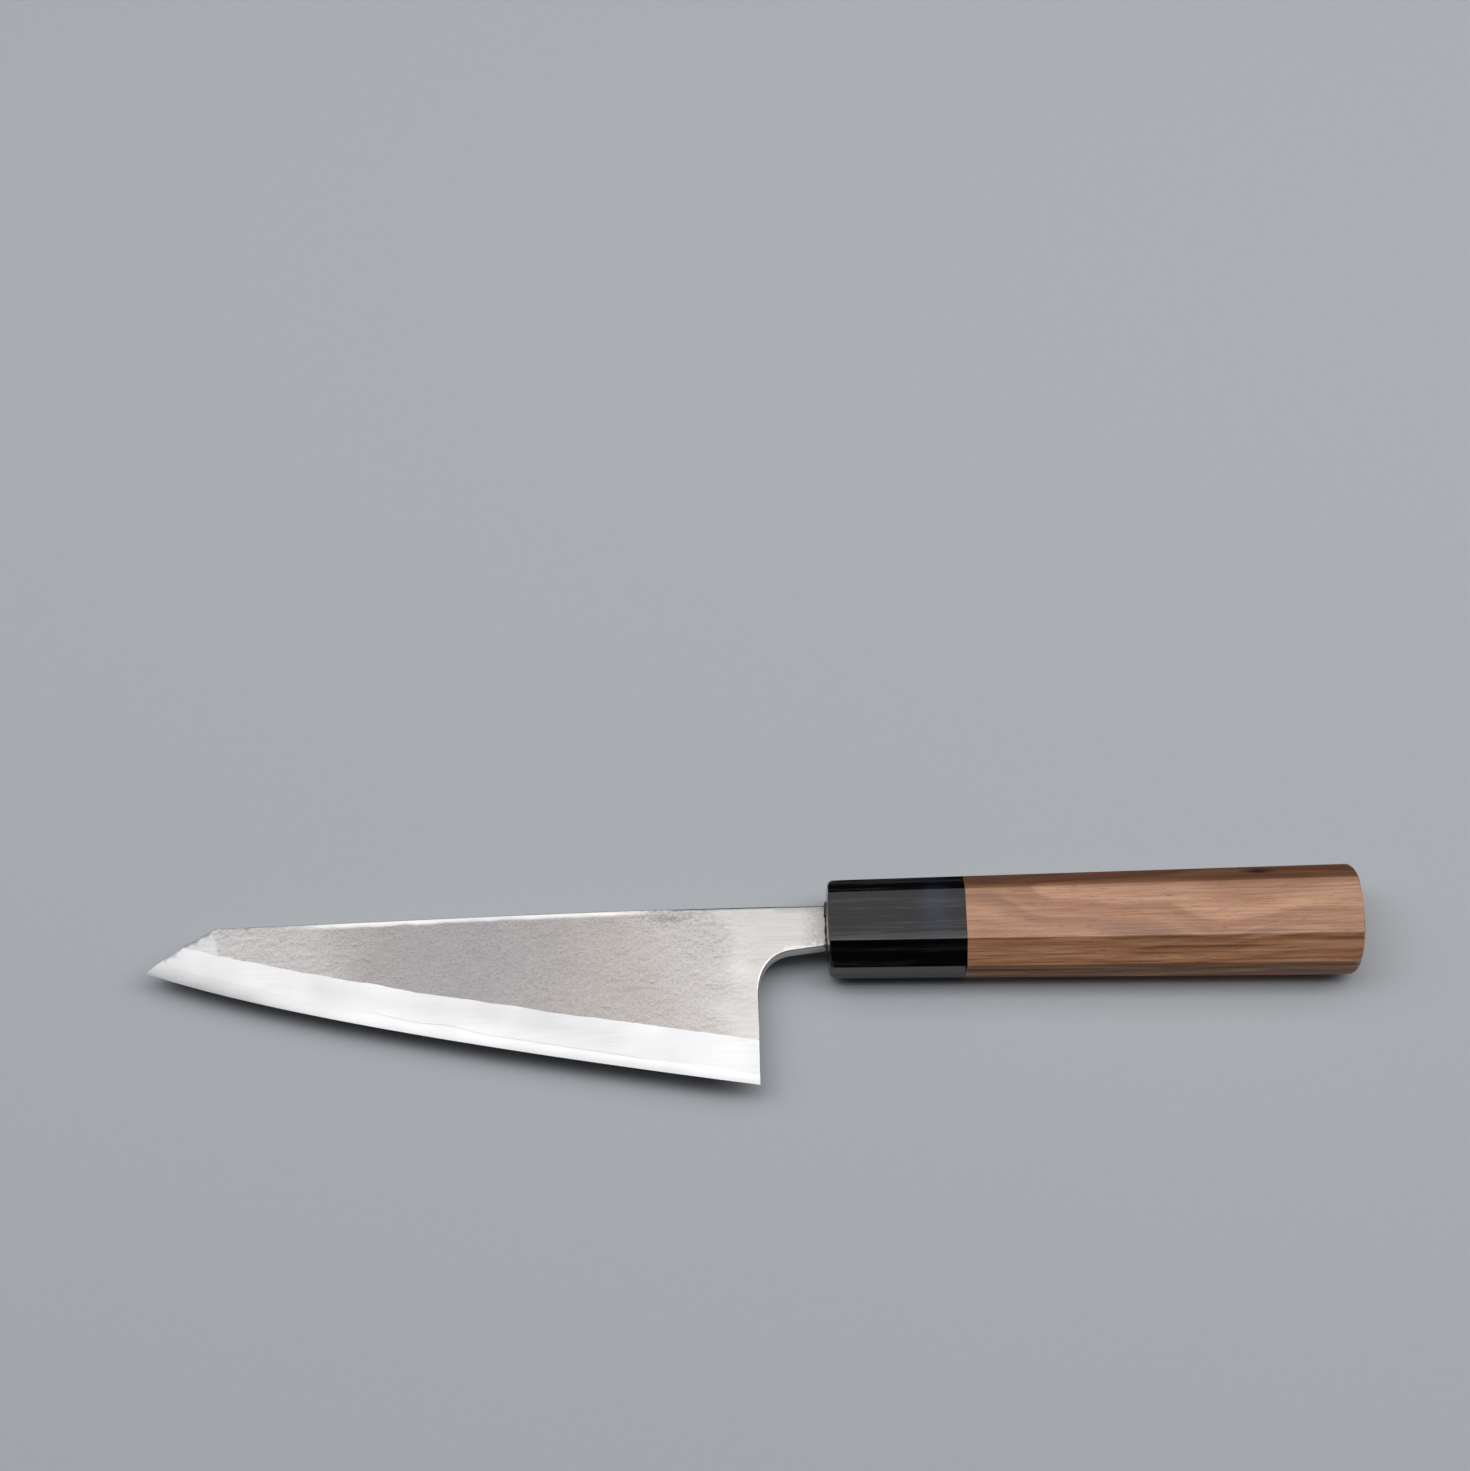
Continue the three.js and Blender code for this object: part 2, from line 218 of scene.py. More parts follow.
# The handle's box fixes where the millimetre frame lies
handleLow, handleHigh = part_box("handle_body")
place = Vector((
    handleHigh.x - handle["length"] * mm,
    (handleLow.y + handleHigh.y) / 2,
    (handleLow.z + handleHigh.z) / 2,
))
toFrame = Matrix.Translation(place) @ Matrix.Scale(mm, 4)


print("handle")


hornGrain = {
    "fibre": (45, 2.2, 2.2), "relief": 0.02,
    # the cloud is a painted reflection on the top facet, not a colour of the horn
    "cloud": (26.2, 2.0, 8.5), "cloudSize": (5.5, 9, 5),
}


# Black buffalo horn, buffed: glossy and near black, with grey fibres along the handle that dull the
# gloss in streaks, and one bluish cloud on the top facet near the wood, which is a painted reflection
def buffaloHorn():
    material, tree, local = newMaterial("buffedBuffaloHorn")
    fibres = grainOf(tree, local, hornGrain["fibre"], Detail=5.0, Roughness=0.72)
    colour = addNode(tree, "ShaderNodeValToRGB", {"Fac": fibres}, [
        (0.36, "#030202"), (0.52, "#070606"), (0.66, "#100e0f")])
    # painted reflection: a bluish cloud mixed into the colour on the top facet near the wood
    reach = reachFrom(tree, local, hornGrain["cloud"], hornGrain["cloudSize"])
    ragged = addNode(tree, "ShaderNodeMath", {0: fibres, 1: -1.5, 2: reach}, operation="MULTIPLY_ADD")
    cloud = addNode(tree, "ShaderNodeMapRange", {
        "Value": ragged, "From Min": 0.4, "From Max": -0.9}, interpolation_type="SMOOTHSTEP")
    colour = addNode(tree, "ShaderNodeMix", {0: cloud, 6: colour, 7: "#272b3e"}, data_type="RGBA")
    rough = addNode(tree, "ShaderNodeMapRange", {
        "Value": fibres, "From Min": 0.47, "From Max": 0.62, "To Min": 0.05, "To Max": 0.42})
    normal = addNode(tree, "ShaderNodeBump", {
        "Height": fibres, "Strength": 0.35, "Distance": hornGrain["relief"] * mm})
    return finished(material, tree, {
        "Base Color": colour, "Roughness": rough, "IOR": 1.54, "Specular IOR Level": 0.38,
        "Normal": normal})


walnutGrain = {
    "band": 4.6, "bandTilt": 0.45,                # the growth bands lean through the handle
    "wander": (60, 26, 26), "wanderDepth": 15,    # and bend slowly
    "fibre": (15, 0.5, 0.5), "pore": (3.2, 0.2, 0.2), "poreDepth": 0.04, "streak": (26, 0.85, 0.85),
    "knot": (104.2, 10.6, 6.6), "knotSize": (3.2, 1.1, 1.1),
    # the spine side's darkening is painted shade, not a colour of the wood
    "edgeSide": (-5.0, -7.0), "spineShadeSide": (5.5, 8.0),  # where the two darker sides begin and are full
}


# Walnut, planed and oiled: pinkish brown with broad wavy growth bands, fine fibres, short open pores
# and one small knot, and a satin sheen where a facet faces the light. The edge side is streaked, and
# the spine side is darkened with painted shade.
def oiledWalnut():
    material, tree, local = newMaterial("oiledWalnut")
    axes = addNode(tree, "ShaderNodeSeparateXYZ", {"Vector": local}).outputs
    wander = grainOf(tree, local, walnutGrain["wander"], Detail=2.0)
    level = addNode(tree, "ShaderNodeMath", {
        0: axes["Y"], 1: walnutGrain["bandTilt"], 2: axes["Z"]}, operation="MULTIPLY_ADD")
    depth = addNode(tree, "ShaderNodeMath", {
        0: wander, 1: walnutGrain["wanderDepth"], 2: level}, operation="MULTIPLY_ADD")
    band = addNode(tree, "ShaderNodeMath", {0: depth, 1: walnutGrain["band"]}, operation="DIVIDE")
    rings = addNode(tree, "ShaderNodeTexNoise", {
        "W": band, "Scale": 1.0, "Detail": 2.0}, noise_dimensions="1D")
    colour = addNode(tree, "ShaderNodeValToRGB", {"Fac": rings}, [
        (0.3, "#a37258"), (0.44, "#c89571"), (0.54, "#d19d78"), (0.72, "#deac88")])
    phase = addNode(tree, "ShaderNodeMath", {0: rings, 1: 2.0, 2: band}, operation="MULTIPLY_ADD")
    phase = addNode(tree, "ShaderNodeMath", {0: phase}, operation="FRACT")
    fibres = grainOf(tree, local, walnutGrain["fibre"], Detail=3.0)
    pores = grainOf(tree, local, walnutGrain["pore"], Detail=1.0)
    for pattern, share, stops in (
            (phase, 0.6, [(0.0, "#c9b1a3"), (0.16, "#ffffff"), (0.5, "#ffffff"), (1.0, "#c9b1a3")]),
            (fibres, 0.55, [(0.34, "#bfa898"), (0.62, "#ffffff")]),
            (pores, 0.5, [(0.29, "#6d5040"), (0.37, "#ffffff")])):
        shade = addNode(tree, "ShaderNodeValToRGB", {"Fac": pattern}, stops)
        colour = addNode(tree, "ShaderNodeMix", {
            0: share, 6: colour, 7: shade}, data_type="RGBA", blend_type="MULTIPLY")

    # the edge side has darker streaks, and the spine side is a little darker all over, as painted shade
    streaks = grainOf(tree, local, walnutGrain["streak"], Detail=3.0)
    streak = addNode(tree, "ShaderNodeMapRange", {"Value": streaks, "From Min": 0.5, "From Max": 0.64})
    low, high = walnutGrain["edgeSide"]
    atEdge = addNode(tree, "ShaderNodeMapRange", {
        "Value": axes["Y"], "From Min": low, "From Max": high, "To Min": 0.12, "To Max": 0.68})
    streak = addNode(tree, "ShaderNodeMath", {0: streak, 1: atEdge}, operation="MULTIPLY")
    colour = addNode(tree, "ShaderNodeMix", {0: streak, 6: colour, 7: "#5e3e2b"}, data_type="RGBA")
    # painted shade: the facets on the spine side are multiplied darker
    low, high = walnutGrain["spineShadeSide"]
    spineShade = addNode(tree, "ShaderNodeMapRange", {
        "Value": axes["Y"], "From Min": low, "From Max": high, "To Min": 0.0, "To Max": 0.8})
    colour = addNode(tree, "ShaderNodeMix", {
        0: spineShade, 6: colour, 7: "#7b6659"}, data_type="RGBA", blend_type="MULTIPLY")

    reach = reachFrom(tree, local, walnutGrain["knot"], walnutGrain["knotSize"])
    ragged = addNode(tree, "ShaderNodeMath", {0: fibres, 1: 1.4, 2: reach}, operation="MULTIPLY_ADD")
    knot = addNode(tree, "ShaderNodeMapRange", {"Value": ragged, "From Min": 2.4, "From Max": 1.1})
    colour = addNode(tree, "ShaderNodeMix", {0: knot, 6: colour, 7: "#22140e"}, data_type="RGBA")
    rough = addNode(tree, "ShaderNodeMapRange", {
        "Value": fibres, "From Min": 0.3, "From Max": 0.7, "To Min": 0.4, "To Max": 0.32})
    normal = addNode(tree, "ShaderNodeBump", {
        "Height": pores, "Strength": 0.4, "Distance": walnutGrain["poreDepth"] * mm})
    return finished(material, tree, {
        "Base Color": colour, "Roughness": rough, "IOR": 1.5, "Normal": normal})


magnoliaGrain = {"fibre": (12, 0.8, 0.8), "relief": 0.03}


# Bare magnolia, turned: pale, even and close-grained
def bareMagnolia():
    material, tree, local = newMaterial("bareMagnolia")
    fibres = grainOf(tree, local, magnoliaGrain["fibre"], Detail=3.0)
    colour = addNode(tree, "ShaderNodeValToRGB", {"Fac": fibres}, [(0.3, "#cbb58b"), (0.7, "#e0cfa8")])
    normal = addNode(tree, "ShaderNodeBump", {
        "Height": fibres, "Strength": 0.3, "Distance": magnoliaGrain["relief"] * mm})
    return finished(material, tree, {"Base Color": colour, "Roughness": 0.7, "Normal": normal})


def endProfile(domeRadius, rimRadius, outerRadius):  # shallow dome that rolls over into a rim
    rimCentre = outerRadius - rimRadius
    meeting = math.asin(rimCentre / (domeRadius - rimRadius))
    rimDepth = domeRadius - (domeRadius - rimRadius) * math.cos(meeting)
    dome = np.linspace(0, meeting, handle["domeSteps"] + 1)
    rim = np.linspace(meeting, math.pi / 2, handle["rimSteps"] + 1)[1:]
    points = [(domeRadius * (1 - math.cos(a)), domeRadius * math.sin(a)) for a in dome]
    return points + [(rimDepth - rimRadius * math.cos(a), rimCentre + rimRadius * math.sin(a)) for a in rim]


def handleProfile(h):  # (place along the handle, turned radius) from the front's centre to the butt's
    front, butt = [
        endProfile(h[end + "DomeRadius"], h[end + "RimRadius"], h["rimMargin"] + math.hypot(
            h[end + "Height"] / 2, h[end + "Thickness"] / 2 - h[end + "Corner"]))
        for end in ("front", "butt")]
    clear = h["buttHeight"]  # well outside the octagon, because only the ends are turned
    start, end = front[-1][0] + h["frontRimRadius"], h["length"] - butt[-1][0] - h["buttRimRadius"]
    middle = [(x, clear) for x in np.linspace(start, end, h["lengthSteps"])]
    return front + middle + [(h["length"] - x, r) for x, r in reversed(butt)]


# A rectangle whose corners are cut off once, and whose new corners are then rounded
def cutOctagon(tree, height, thickness, corner, arris, steps, cuts):
    line = addNode(tree, "GeometryNodeCurvePrimitiveQuadrilateral", {"Width": height, "Height": thickness})
    for count, radius in ((1, corner), (steps, arris)):
        line = addNode(tree, "GeometryNodeFilletCurve", {
            "Curve": line, "Count": count, "Radius": radius}, mode="POLY")
    return addNode(tree, "GeometryNodeSubdivideCurve", {"Curve": line, "Cuts": cuts})


# What the handle's dictionary gives to the nodes below, under the same names
handleSizes = ("length", "frontHeight", "frontThickness", "frontCorner", "buttHeight", "buttThickness",
               "buttCorner", "arrisRadius", "endSharpness", "turnedCap", "ringMerge")
handleCounts = ("arrisSteps", "facetCuts")


# An octagon that grows from one end to the other, with both ends turned to the profile it is given
def octagonTree():
    tree = bpy.data.node_groups.new("turnedOctagon", "GeometryNodeTree")
    face = tree.interface
    for kind, names in (("Geometry", ["profile"]), ("Float", handleSizes), ("Int", handleCounts),
                        ("Material", ["material"])):
        for name in names:
            face.new_socket(name, in_out="INPUT", socket_type="NodeSocket" + kind)
    face.new_socket("handle", in_out="OUTPUT", socket_type="NodeSocketGeometry")
    given = addNode(tree, "NodeGroupInput").outputs

    ends = [cutOctagon(tree, given[end + "Height"], given[end + "Thickness"], given[end + "Corner"],
                       given["arrisRadius"], given["arrisSteps"], given["facetCuts"])
            for end in ("front", "butt")]
    rings = addNode(tree, "GeometryNodeAttributeDomainSize", {"Geometry": given["profile"]})
    sides = addNode(tree, "GeometryNodeAttributeDomainSize", {"Geometry": ends[0]}, component="CURVE")
    seam = addNode(tree, "ShaderNodeMath", {0: sides, 1: 1.0}, operation="ADD")
    grid = addNode(tree, "GeometryNodeMeshGrid", {
        "Size X": 1.0, "Size Y": 1.0, "Vertices X": rings.outputs["Point Count"], "Vertices Y": seam})

    # Each point of the grid takes its ring from the profile and its side from both octagons
    index = addNode(tree, "GeometryNodeInputIndex")
    share = addNode(tree, "ShaderNodeMath", {0: index, 1: seam}, operation="DIVIDE")
    ring = addNode(tree, "ShaderNodeMath", {0: share}, operation="FLOOR")
    rest = addNode(tree, "ShaderNodeMath", {0: index, 1: seam}, operation="MODULO")
    side = addNode(tree, "ShaderNodeMath", {0: rest, 1: sides}, operation="MODULO")
    position = addNode(tree, "GeometryNodeInputPosition")
    turned, front, butt = [
        addNode(tree, "GeometryNodeSampleIndex", {"Geometry": shape, "Value": position, "Index": at},
                data_type="FLOAT_VECTOR")
        for shape, at in ((given["profile"], ring), (ends[0], side), (ends[1], side))]
    turned = addNode(tree, "ShaderNodeSeparateXYZ", {"Vector": turned}).outputs
    along = addNode(tree, "ShaderNodeMath", {0: turned["X"], 1: given["length"]}, operation="DIVIDE")
    section = addNode(tree, "ShaderNodeMix", {0: along, 4: front, 5: butt}, data_type="VECTOR")
    cut = addNode(tree, "ShaderNodeSeparateXYZ", {"Vector": section}).outputs
    reach = addNode(tree, "ShaderNodeVectorMath", {0: section}, operation="LENGTH")

    # The smaller of octagon and turned end, blended over a fraction of a millimetre
    sharp = given["endSharpness"]
    ratio = addNode(tree, "ShaderNodeMath", {0: turned["Y"], 1: reach}, operation="DIVIDE")
    ratio = addNode(tree, "ShaderNodeMath", {0: ratio, 1: given["turnedCap"]}, operation="MINIMUM")
    power = addNode(tree, "ShaderNodeMath", {0: ratio, 1: sharp}, operation="POWER")
    power = addNode(tree, "ShaderNodeMath", {0: power, 1: 1.0}, operation="ADD")
    root = addNode(tree, "ShaderNodeMath", {0: -1.0, 1: sharp}, operation="DIVIDE")
    blend = addNode(tree, "ShaderNodeMath", {0: power, 1: root}, operation="POWER")
    scale = addNode(tree, "ShaderNodeMath", {0: ratio, 1: blend}, operation="MULTIPLY")
    across = addNode(tree, "ShaderNodeMath", {0: cut["X"], 1: scale}, operation="MULTIPLY")
    up = addNode(tree, "ShaderNodeMath", {0: cut["Y"], 1: scale}, operation="MULTIPLY")
    moved = addNode(tree, "ShaderNodeCombineXYZ", {"X": turned["X"], "Y": across, "Z": up})
    body = addNode(tree, "GeometryNodeSetPosition", {"Geometry": grid, "Position": moved})
    closed = addNode(tree, "GeometryNodeMergeByDistance", {
        "Geometry": body, "Distance": given["ringMerge"]})
    smooth = addNode(tree, "GeometryNodeSetShadeSmooth", {"Geometry": closed})
    real = addNode(tree, "GeometryNodeRealizeInstances", {"Geometry": smooth})
    painted = addNode(tree, "GeometryNodeSetMaterial", {"Geometry": real, "Material": given["material"]})
    addNode(tree, "NodeGroupOutput", {"handle": painted})
    return tree


def shapeHandle(h, material):
    profile = handleProfile(h)
    mesh = bpy.data.meshes.new("profile")
    mesh.from_pydata([(x, r, 0) for x, r in profile], [(i, i + 1) for i in range(len(profile) - 1)], [])
    blank = bpy.data.objects.new("handleBlank", mesh)
    bpy.context.scene.collection.objects.link(blank)
    modifier = blank.modifiers.new("octagon", "NODES")
    modifier.node_group = octagonTree()
    for item in modifier.node_group.interface.items_tree:
        if item.name in handleSizes:
            modifier[item.identifier] = float(h[item.name])
        elif item.name in handleCounts:
            modifier[item.identifier] = h[item.name]
        elif item.name == "material":
            modifier[item.identifier] = material
    result = evaluated(blank)
    bpy.data.objects.remove(blank)
    return result


def cutAway(mesh, cutter):
    piece = bpy.data.objects.new("work", mesh)
    tool = bpy.data.objects.new("tool", cutter)
    for one in (piece, tool):
        bpy.context.scene.collection.objects.link(one)
    modifier = piece.modifiers.new("cut", "BOOLEAN")
    modifier.operation = "DIFFERENCE"
    modifier.solver = "EXACT"
    modifier.object = tool
    result = evaluated(piece)
    for one in (piece, tool):
        bpy.data.objects.remove(one)
    return result


def splitAt(mesh, x, keepFront):
    part = mesh.copy()
    work = bmesh.new()
    work.from_mesh(part)
    result = bmesh.ops.bisect_plane(
        work, geom=work.verts[:] + work.edges[:] + work.faces[:], plane_co=(x, 0, 0), plane_no=(1, 0, 0),
        clear_outer=keepFront, clear_inner=not keepFront)
    rim = [g for g in result["geom_cut"] if isinstance(g, bmesh.types.BMEdge) and g.is_boundary]
    bmesh.ops.holes_fill(work, edges=rim, sides=0)
    bmesh.ops.recalc_face_normals(work, faces=work.faces[:])
    work.to_mesh(part)
    work.free()
    part.materials.clear()
    return part


def ringsMesh(name, rings, capped):  # rings of as many points each, joined to a tube or a closed loop
    count, total = len(rings[0]), len(rings)
    faces = []
    for ring in range(total - 1 if capped else total):
        following = (ring + 1) % total
        for k in range(count):
            n = (k + 1) % count
            faces.append((
                ring * count + k, ring * count + n, following * count + n, following * count + k))
    if capped:
        faces += [tuple(range(count)), tuple(range((total - 1) * count, total * count))]
    return facedMesh(name, np.vstack(rings), faces)


def turnedTool(profile, steps):
    angles = np.linspace(0, math.tau, steps, endpoint=False)
    rings = [np.column_stack([np.full(steps, x), r * np.cos(angles), r * np.sin(angles)])
             for x, r in profile]
    return ringsMesh("tool", rings, True)


def roundedLoop(lowY, highY, halfZ, corner, count):  # count points spread evenly round a rectangle
    centres = ((highY - corner, halfZ - corner), (lowY + corner, halfZ - corner),
               (lowY + corner, corner - halfZ), (highY - corner, corner - halfZ))
    angles = np.linspace(0, math.pi / 2, handle["cornerSteps"] + 1)
    points = np.vstack([
        np.column_stack([y + corner * np.cos(angles + quarter * math.pi / 2),
                         z + corner * np.sin(angles + quarter * math.pi / 2)])
        for quarter, (y, z) in enumerate(centres)])
    points = np.vstack([points, points[:1]])
    run = np.concatenate([[0], np.cumsum(np.hypot(*np.diff(points, axis=0).T))])
    at = np.linspace(0, run[-1], count, endpoint=False)
    return np.column_stack([np.interp(at, run, points[:, 0]), np.interp(at, run, points[:, 1])])


def boredOut(mesh, h):
    bore = [(h["webThickness"], h["boreRadius"]), (h["boreEnd"], h["boreRadius"]),
            (h["boreEnd"] + h["drillPoint"], h["drillTipRadius"])]
    return cutAway(mesh, turnedTool(bore, h["boreSteps"]))


halfMouth = blade["neckThickness"] / 2 + handle["mouthWall"]
mouthLow = -blade["neckDepth"] - handle["mouthWall"]
mouthHigh = blade["spineRise"] + handle["mouthWall"]


def mouthTool(h):
    loop = roundedLoop(mouthLow, mouthHigh, halfMouth, h["mouthCorner"], h["boreSteps"])
    ends = (-h["overrun"], h["webThickness"] + h["overrun"])
    return ringsMesh("tool", [np.column_stack([np.full(len(loop), x), loop]) for x in ends], True)


walnut, horn = oiledWalnut(), buffaloHorn()
shaped = shapeHandle(handle, walnut)
walnutMesh = boredOut(splitAt(shaped, handle["ferruleLength"], False), handle)
ferruleMesh = boredOut(splitAt(shaped, handle["ferruleLength"], True), handle)
ferruleMesh = cutAway(ferruleMesh, mouthTool(handle))
for mesh in (walnutMesh, ferruleMesh):
    mesh.set_sharp_from_angle(angle=math.radians(handle["creaseAngle"]))
    mesh.materials.clear()
newPiece("walnutHandle", walnutMesh, [walnut], "walnut", "handle_body")
newPiece("hornFerrule", ferruleMesh, [horn], "horn", "ferrule")
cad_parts["handle_dowel"].data.materials.clear()
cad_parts["handle_dowel"].data.materials.append(bareMagnolia())


print("blade")


steelGrain = {
    "heatCloud": 16, "heatWander": 30, "heatRun": (-150, 15),  # the colours of the last heat
    "pearSkin": (0.62, 0.45, 0.45), "skinRelief": 0.05,
    "dressed": (14, 0.3, 0.3), "dressedRelief": 0.008,
    "forgeMark": (-38.1, 3.0, 2), "forgeMarkSize": (5.6, 1.3, 2),
    "neckTint": (-0.8, 3.5), "tintWander": 10,                 # the heat tint before the ferrule
    "stoned": (30, 0.4, 0.4), "stonedRelief": 0.005, "stonedCloud": 14,
    "weld": (0.05, 0.3),                                       # heights over the weld line
    "emeried": (3, 3, 0.25), "emeriedRelief": 0.02,
    "buffed": (12, 4, 0.4),
}


# Soft stainless cladding as the hammer and the scale left it: a fine pear skin, drawn out along the
# blade, with the faint grey and brown of the last heat. Where the "forged" attribute falls to 0 it is
# dressed smooth, with fine lines along the blade.
def pearSkinSteel():
    material, tree, local = newMaterial("pearSkinStainless")
    forged = addNode(tree, "ShaderNodeAttribute", attribute_name="forged").outputs["Fac"]
    axes = addNode(tree, "ShaderNodeSeparateXYZ", {"Vector": local}).outputs
    cloud = addNode(tree, "ShaderNodeTexNoise", {
        "Vector": local, "Scale": 1 / steelGrain["heatCloud"], "Detail": 4.0})
    wander = addNode(tree, "ShaderNodeMath", {
        0: cloud, 1: steelGrain["heatWander"], 2: axes["X"]}, operation="MULTIPLY_ADD")
    low, high = steelGrain["heatRun"]
    along = addNode(tree, "ShaderNodeMapRange", {"Value": wander, "From Min": low, "From Max": high})
    skin = grainOf(tree, local, steelGrain["pearSkin"], Detail=3.0)
    lines = grainOf(tree, local, steelGrain["dressed"], Detail=3.0)
    shades = []
    for tones, pattern, share, stops in (
            ([(0.0, "#a4a4a5"), (0.22, "#a7a6a6"), (0.32, "#c3c0bf"), (0.75, "#c3c0be"), (0.9, "#a6a3a1")],
             lines, 0.6, [(0.3, "#e2e0de"), (0.7, "#ffffff")]),
            ([(0.1, "#a6a4a3"), (0.26, "#a09c9a"), (0.36, "#8e8a89"), (0.5, "#8b888a"), (0.61, "#928e8c"),
              (0.7, "#9b9692"), (0.8, "#a5a19f"), (0.9, "#aca8a6")],
             skin, 0.7, [(0.3, "#d2cfce"), (0.46, "#efedec"), (0.6, "#f6f5f4"), (0.68, "#ffffff")])):
        tone = addNode(tree, "ShaderNodeValToRGB", {"Fac": along}, tones)
        rubbed = addNode(tree, "ShaderNodeValToRGB", {"Fac": pattern}, stops)
        shades.append(addNode(tree, "ShaderNodeMix", {
            0: share, 6: tone, 7: rubbed}, data_type="RGBA", blend_type="MULTIPLY"))
    dressed, hammered = shades
    colour = addNode(tree, "ShaderNodeMix", {0: forged, 6: dressed, 7: hammered}, data_type="RGBA")

    # a small grey patch of scale was left near the spine
    reach = reachFrom(tree, local, steelGrain["forgeMark"], steelGrain["forgeMarkSize"])
    ragged = addNode(tree, "ShaderNodeMath", {0: skin, 1: 3.4, 2: reach}, operation="MULTIPLY_ADD")
    mark = addNode(tree, "ShaderNodeMapRange", {
        "Value": ragged, "From Min": 3.0, "From Max": 1.9, "To Min": 0.0, "To Max": 0.7})
    colour = addNode(tree, "ShaderNodeMix", {0: mark, 6: colour, 7: "#767575"}, data_type="RGBA")

    # heat from driving in the tang tinted the last millimetres before the ferrule
    tinted = addNode(tree, "ShaderNodeMath", {
        0: skin, 1: steelGrain["tintWander"], 2: axes["X"]}, operation="MULTIPLY_ADD")
    low, high = steelGrain["neckTint"]
    tinted = addNode(tree, "ShaderNodeMapRange", {
        "Value": tinted, "From Min": low, "From Max": high, "To Min": 0.0, "To Max": 0.6})
    colour = addNode(tree, "ShaderNodeMix", {0: tinted, 6: colour, 7: "#77736f"}, data_type="RGBA")

    rough = addNode(tree, "ShaderNodeMapRange", {"Value": forged, "To Min": 0.36, "To Max": 0.46})
    grainy = addNode(tree, "ShaderNodeMath", {0: forged, 1: tinted}, operation="MAXIMUM")
    relief = addNode(tree, "ShaderNodeBump", {
        "Height": skin, "Strength": grainy, "Distance": steelGrain["skinRelief"] * mm})
    relief = addNode(tree, "ShaderNodeBump", {
        "Height": lines, "Strength": 0.3, "Distance": steelGrain["dressedRelief"] * mm, "Normal": relief})
    return finished(material, tree, {
        "Base Color": colour, "Metallic": 1.0, "Roughness": rough, "Normal": relief})


# Ground on a wet wheel and drawn over stones: near white, with hair-fine lines along the blade and
# long soft tones of painted light and shade, which an attribute holds. The weld to the core is a faint warm
# line.
def stonedSteel(name):
    material, tree, local = newMaterial(name)
    polish = addNode(tree, "ShaderNodeAttribute", attribute_name="polish").outputs["Fac"]
    overWeld = addNode(tree, "ShaderNodeAttribute", attribute_name="overWeld").outputs["Fac"]
    # painted light and shade: the bevel brightest at the heel and greyer towards the edge near the point
    tone = addNode(tree, "ShaderNodeMix", {0: polish, 6: "#7c7b7b", 7: "#b4b3b3"}, data_type="RGBA")
    lines = grainOf(tree, local, steelGrain["stoned"], Detail=3.0)
    shade = addNode(tree, "ShaderNodeValToRGB", {"Fac": lines}, [(0.3, "#f8f8f9"), (0.7, "#ffffff")])
    tone = addNode(tree, "ShaderNodeMix", {
        0: 1.0, 6: tone, 7: shade}, data_type="RGBA", blend_type="MULTIPLY")
    low, high = steelGrain["weld"]
    weld = addNode(tree, "ShaderNodeMapRange", {
        "Value": overWeld, "From Min": low, "From Max": high, "To Min": 0.8, "To Max": 0.0})
    tone = addNode(tree, "ShaderNodeMix", {
        0: weld, 6: tone, 7: "#dfd8d5"}, data_type="RGBA", blend_type="MULTIPLY")
    cloud = addNode(tree, "ShaderNodeTexNoise", {
        "Vector": local, "Scale": 1 / steelGrain["stonedCloud"], "Detail": 2.0})
    rough = addNode(tree, "ShaderNodeMapRange", {
        "Value": cloud, "From Min": 0.3, "From Max": 0.7, "To Min": 0.33, "To Max": 0.39})
    relief = addNode(tree, "ShaderNodeBump", {
        "Height": lines, "Strength": 0.2, "Distance": steelGrain["stonedRelief"] * mm})
    return finished(material, tree, {
        "Base Color": tone, "Metallic": 1.0, "Roughness": rough, "Normal": relief})


# Filed and emeried sides of spine, neck, choil and heel: grey, with short lines along the side
def emeriedSteel():
    material, tree, local = newMaterial("emeriedStainless")
    lines = grainOf(tree, local, steelGrain["emeried"], Detail=2.0)
    tone = addNode(tree, "ShaderNodeValToRGB", {"Fac": lines}, [(0.3, "#c4c2c0"), (0.7, "#dad8d6")])
    relief = addNode(tree, "ShaderNodeBump", {
        "Height": lines, "Strength": 0.3, "Distance": steelGrain["emeriedRelief"] * mm})
    return finished(material, tree, {
        "Base Color": tone, "Metallic": 1.0, "Roughness": 0.46, "Normal": relief})


# The arrises of spine, neck and choil, rounded and buffed so that they catch the light as a bright line
def buffedSteel():
    material, tree, local = newMaterial("buffedStainless")
    lines = grainOf(tree, local, steelGrain["buffed"], Detail=2.0)
    tone = addNode(tree, "ShaderNodeValToRGB", {"Fac": lines}, [(0.3, "#c0bebd"), (0.7, "#d3d1d0")])
    return finished(material, tree, {"Base Color": tone, "Metallic": 1.0, "Roughness": 0.3})


heelX = -blade["neckLength"]
edgeRise = blade["heelDepth"] - blade["tipDepth"]
tip = np.array([heelX - math.sqrt(blade["edgeLength"] ** 2 - edgeRise ** 2), -blade["tipDepth"]])
heel = np.array([heelX, -blade["heelDepth"]])
pointCorner = np.array([tip[0] + blade["pointLength"], blade["pointRise"]])
shoulderX = handle["webThickness"]
tangEndX = shoulderX + blade["tangLength"]
mouthX = -blade["mouthReach"]


def single(points):  # Blender keeps single precision, so seams are worked out in it
    return np.asarray(points, np.float32).astype(float)


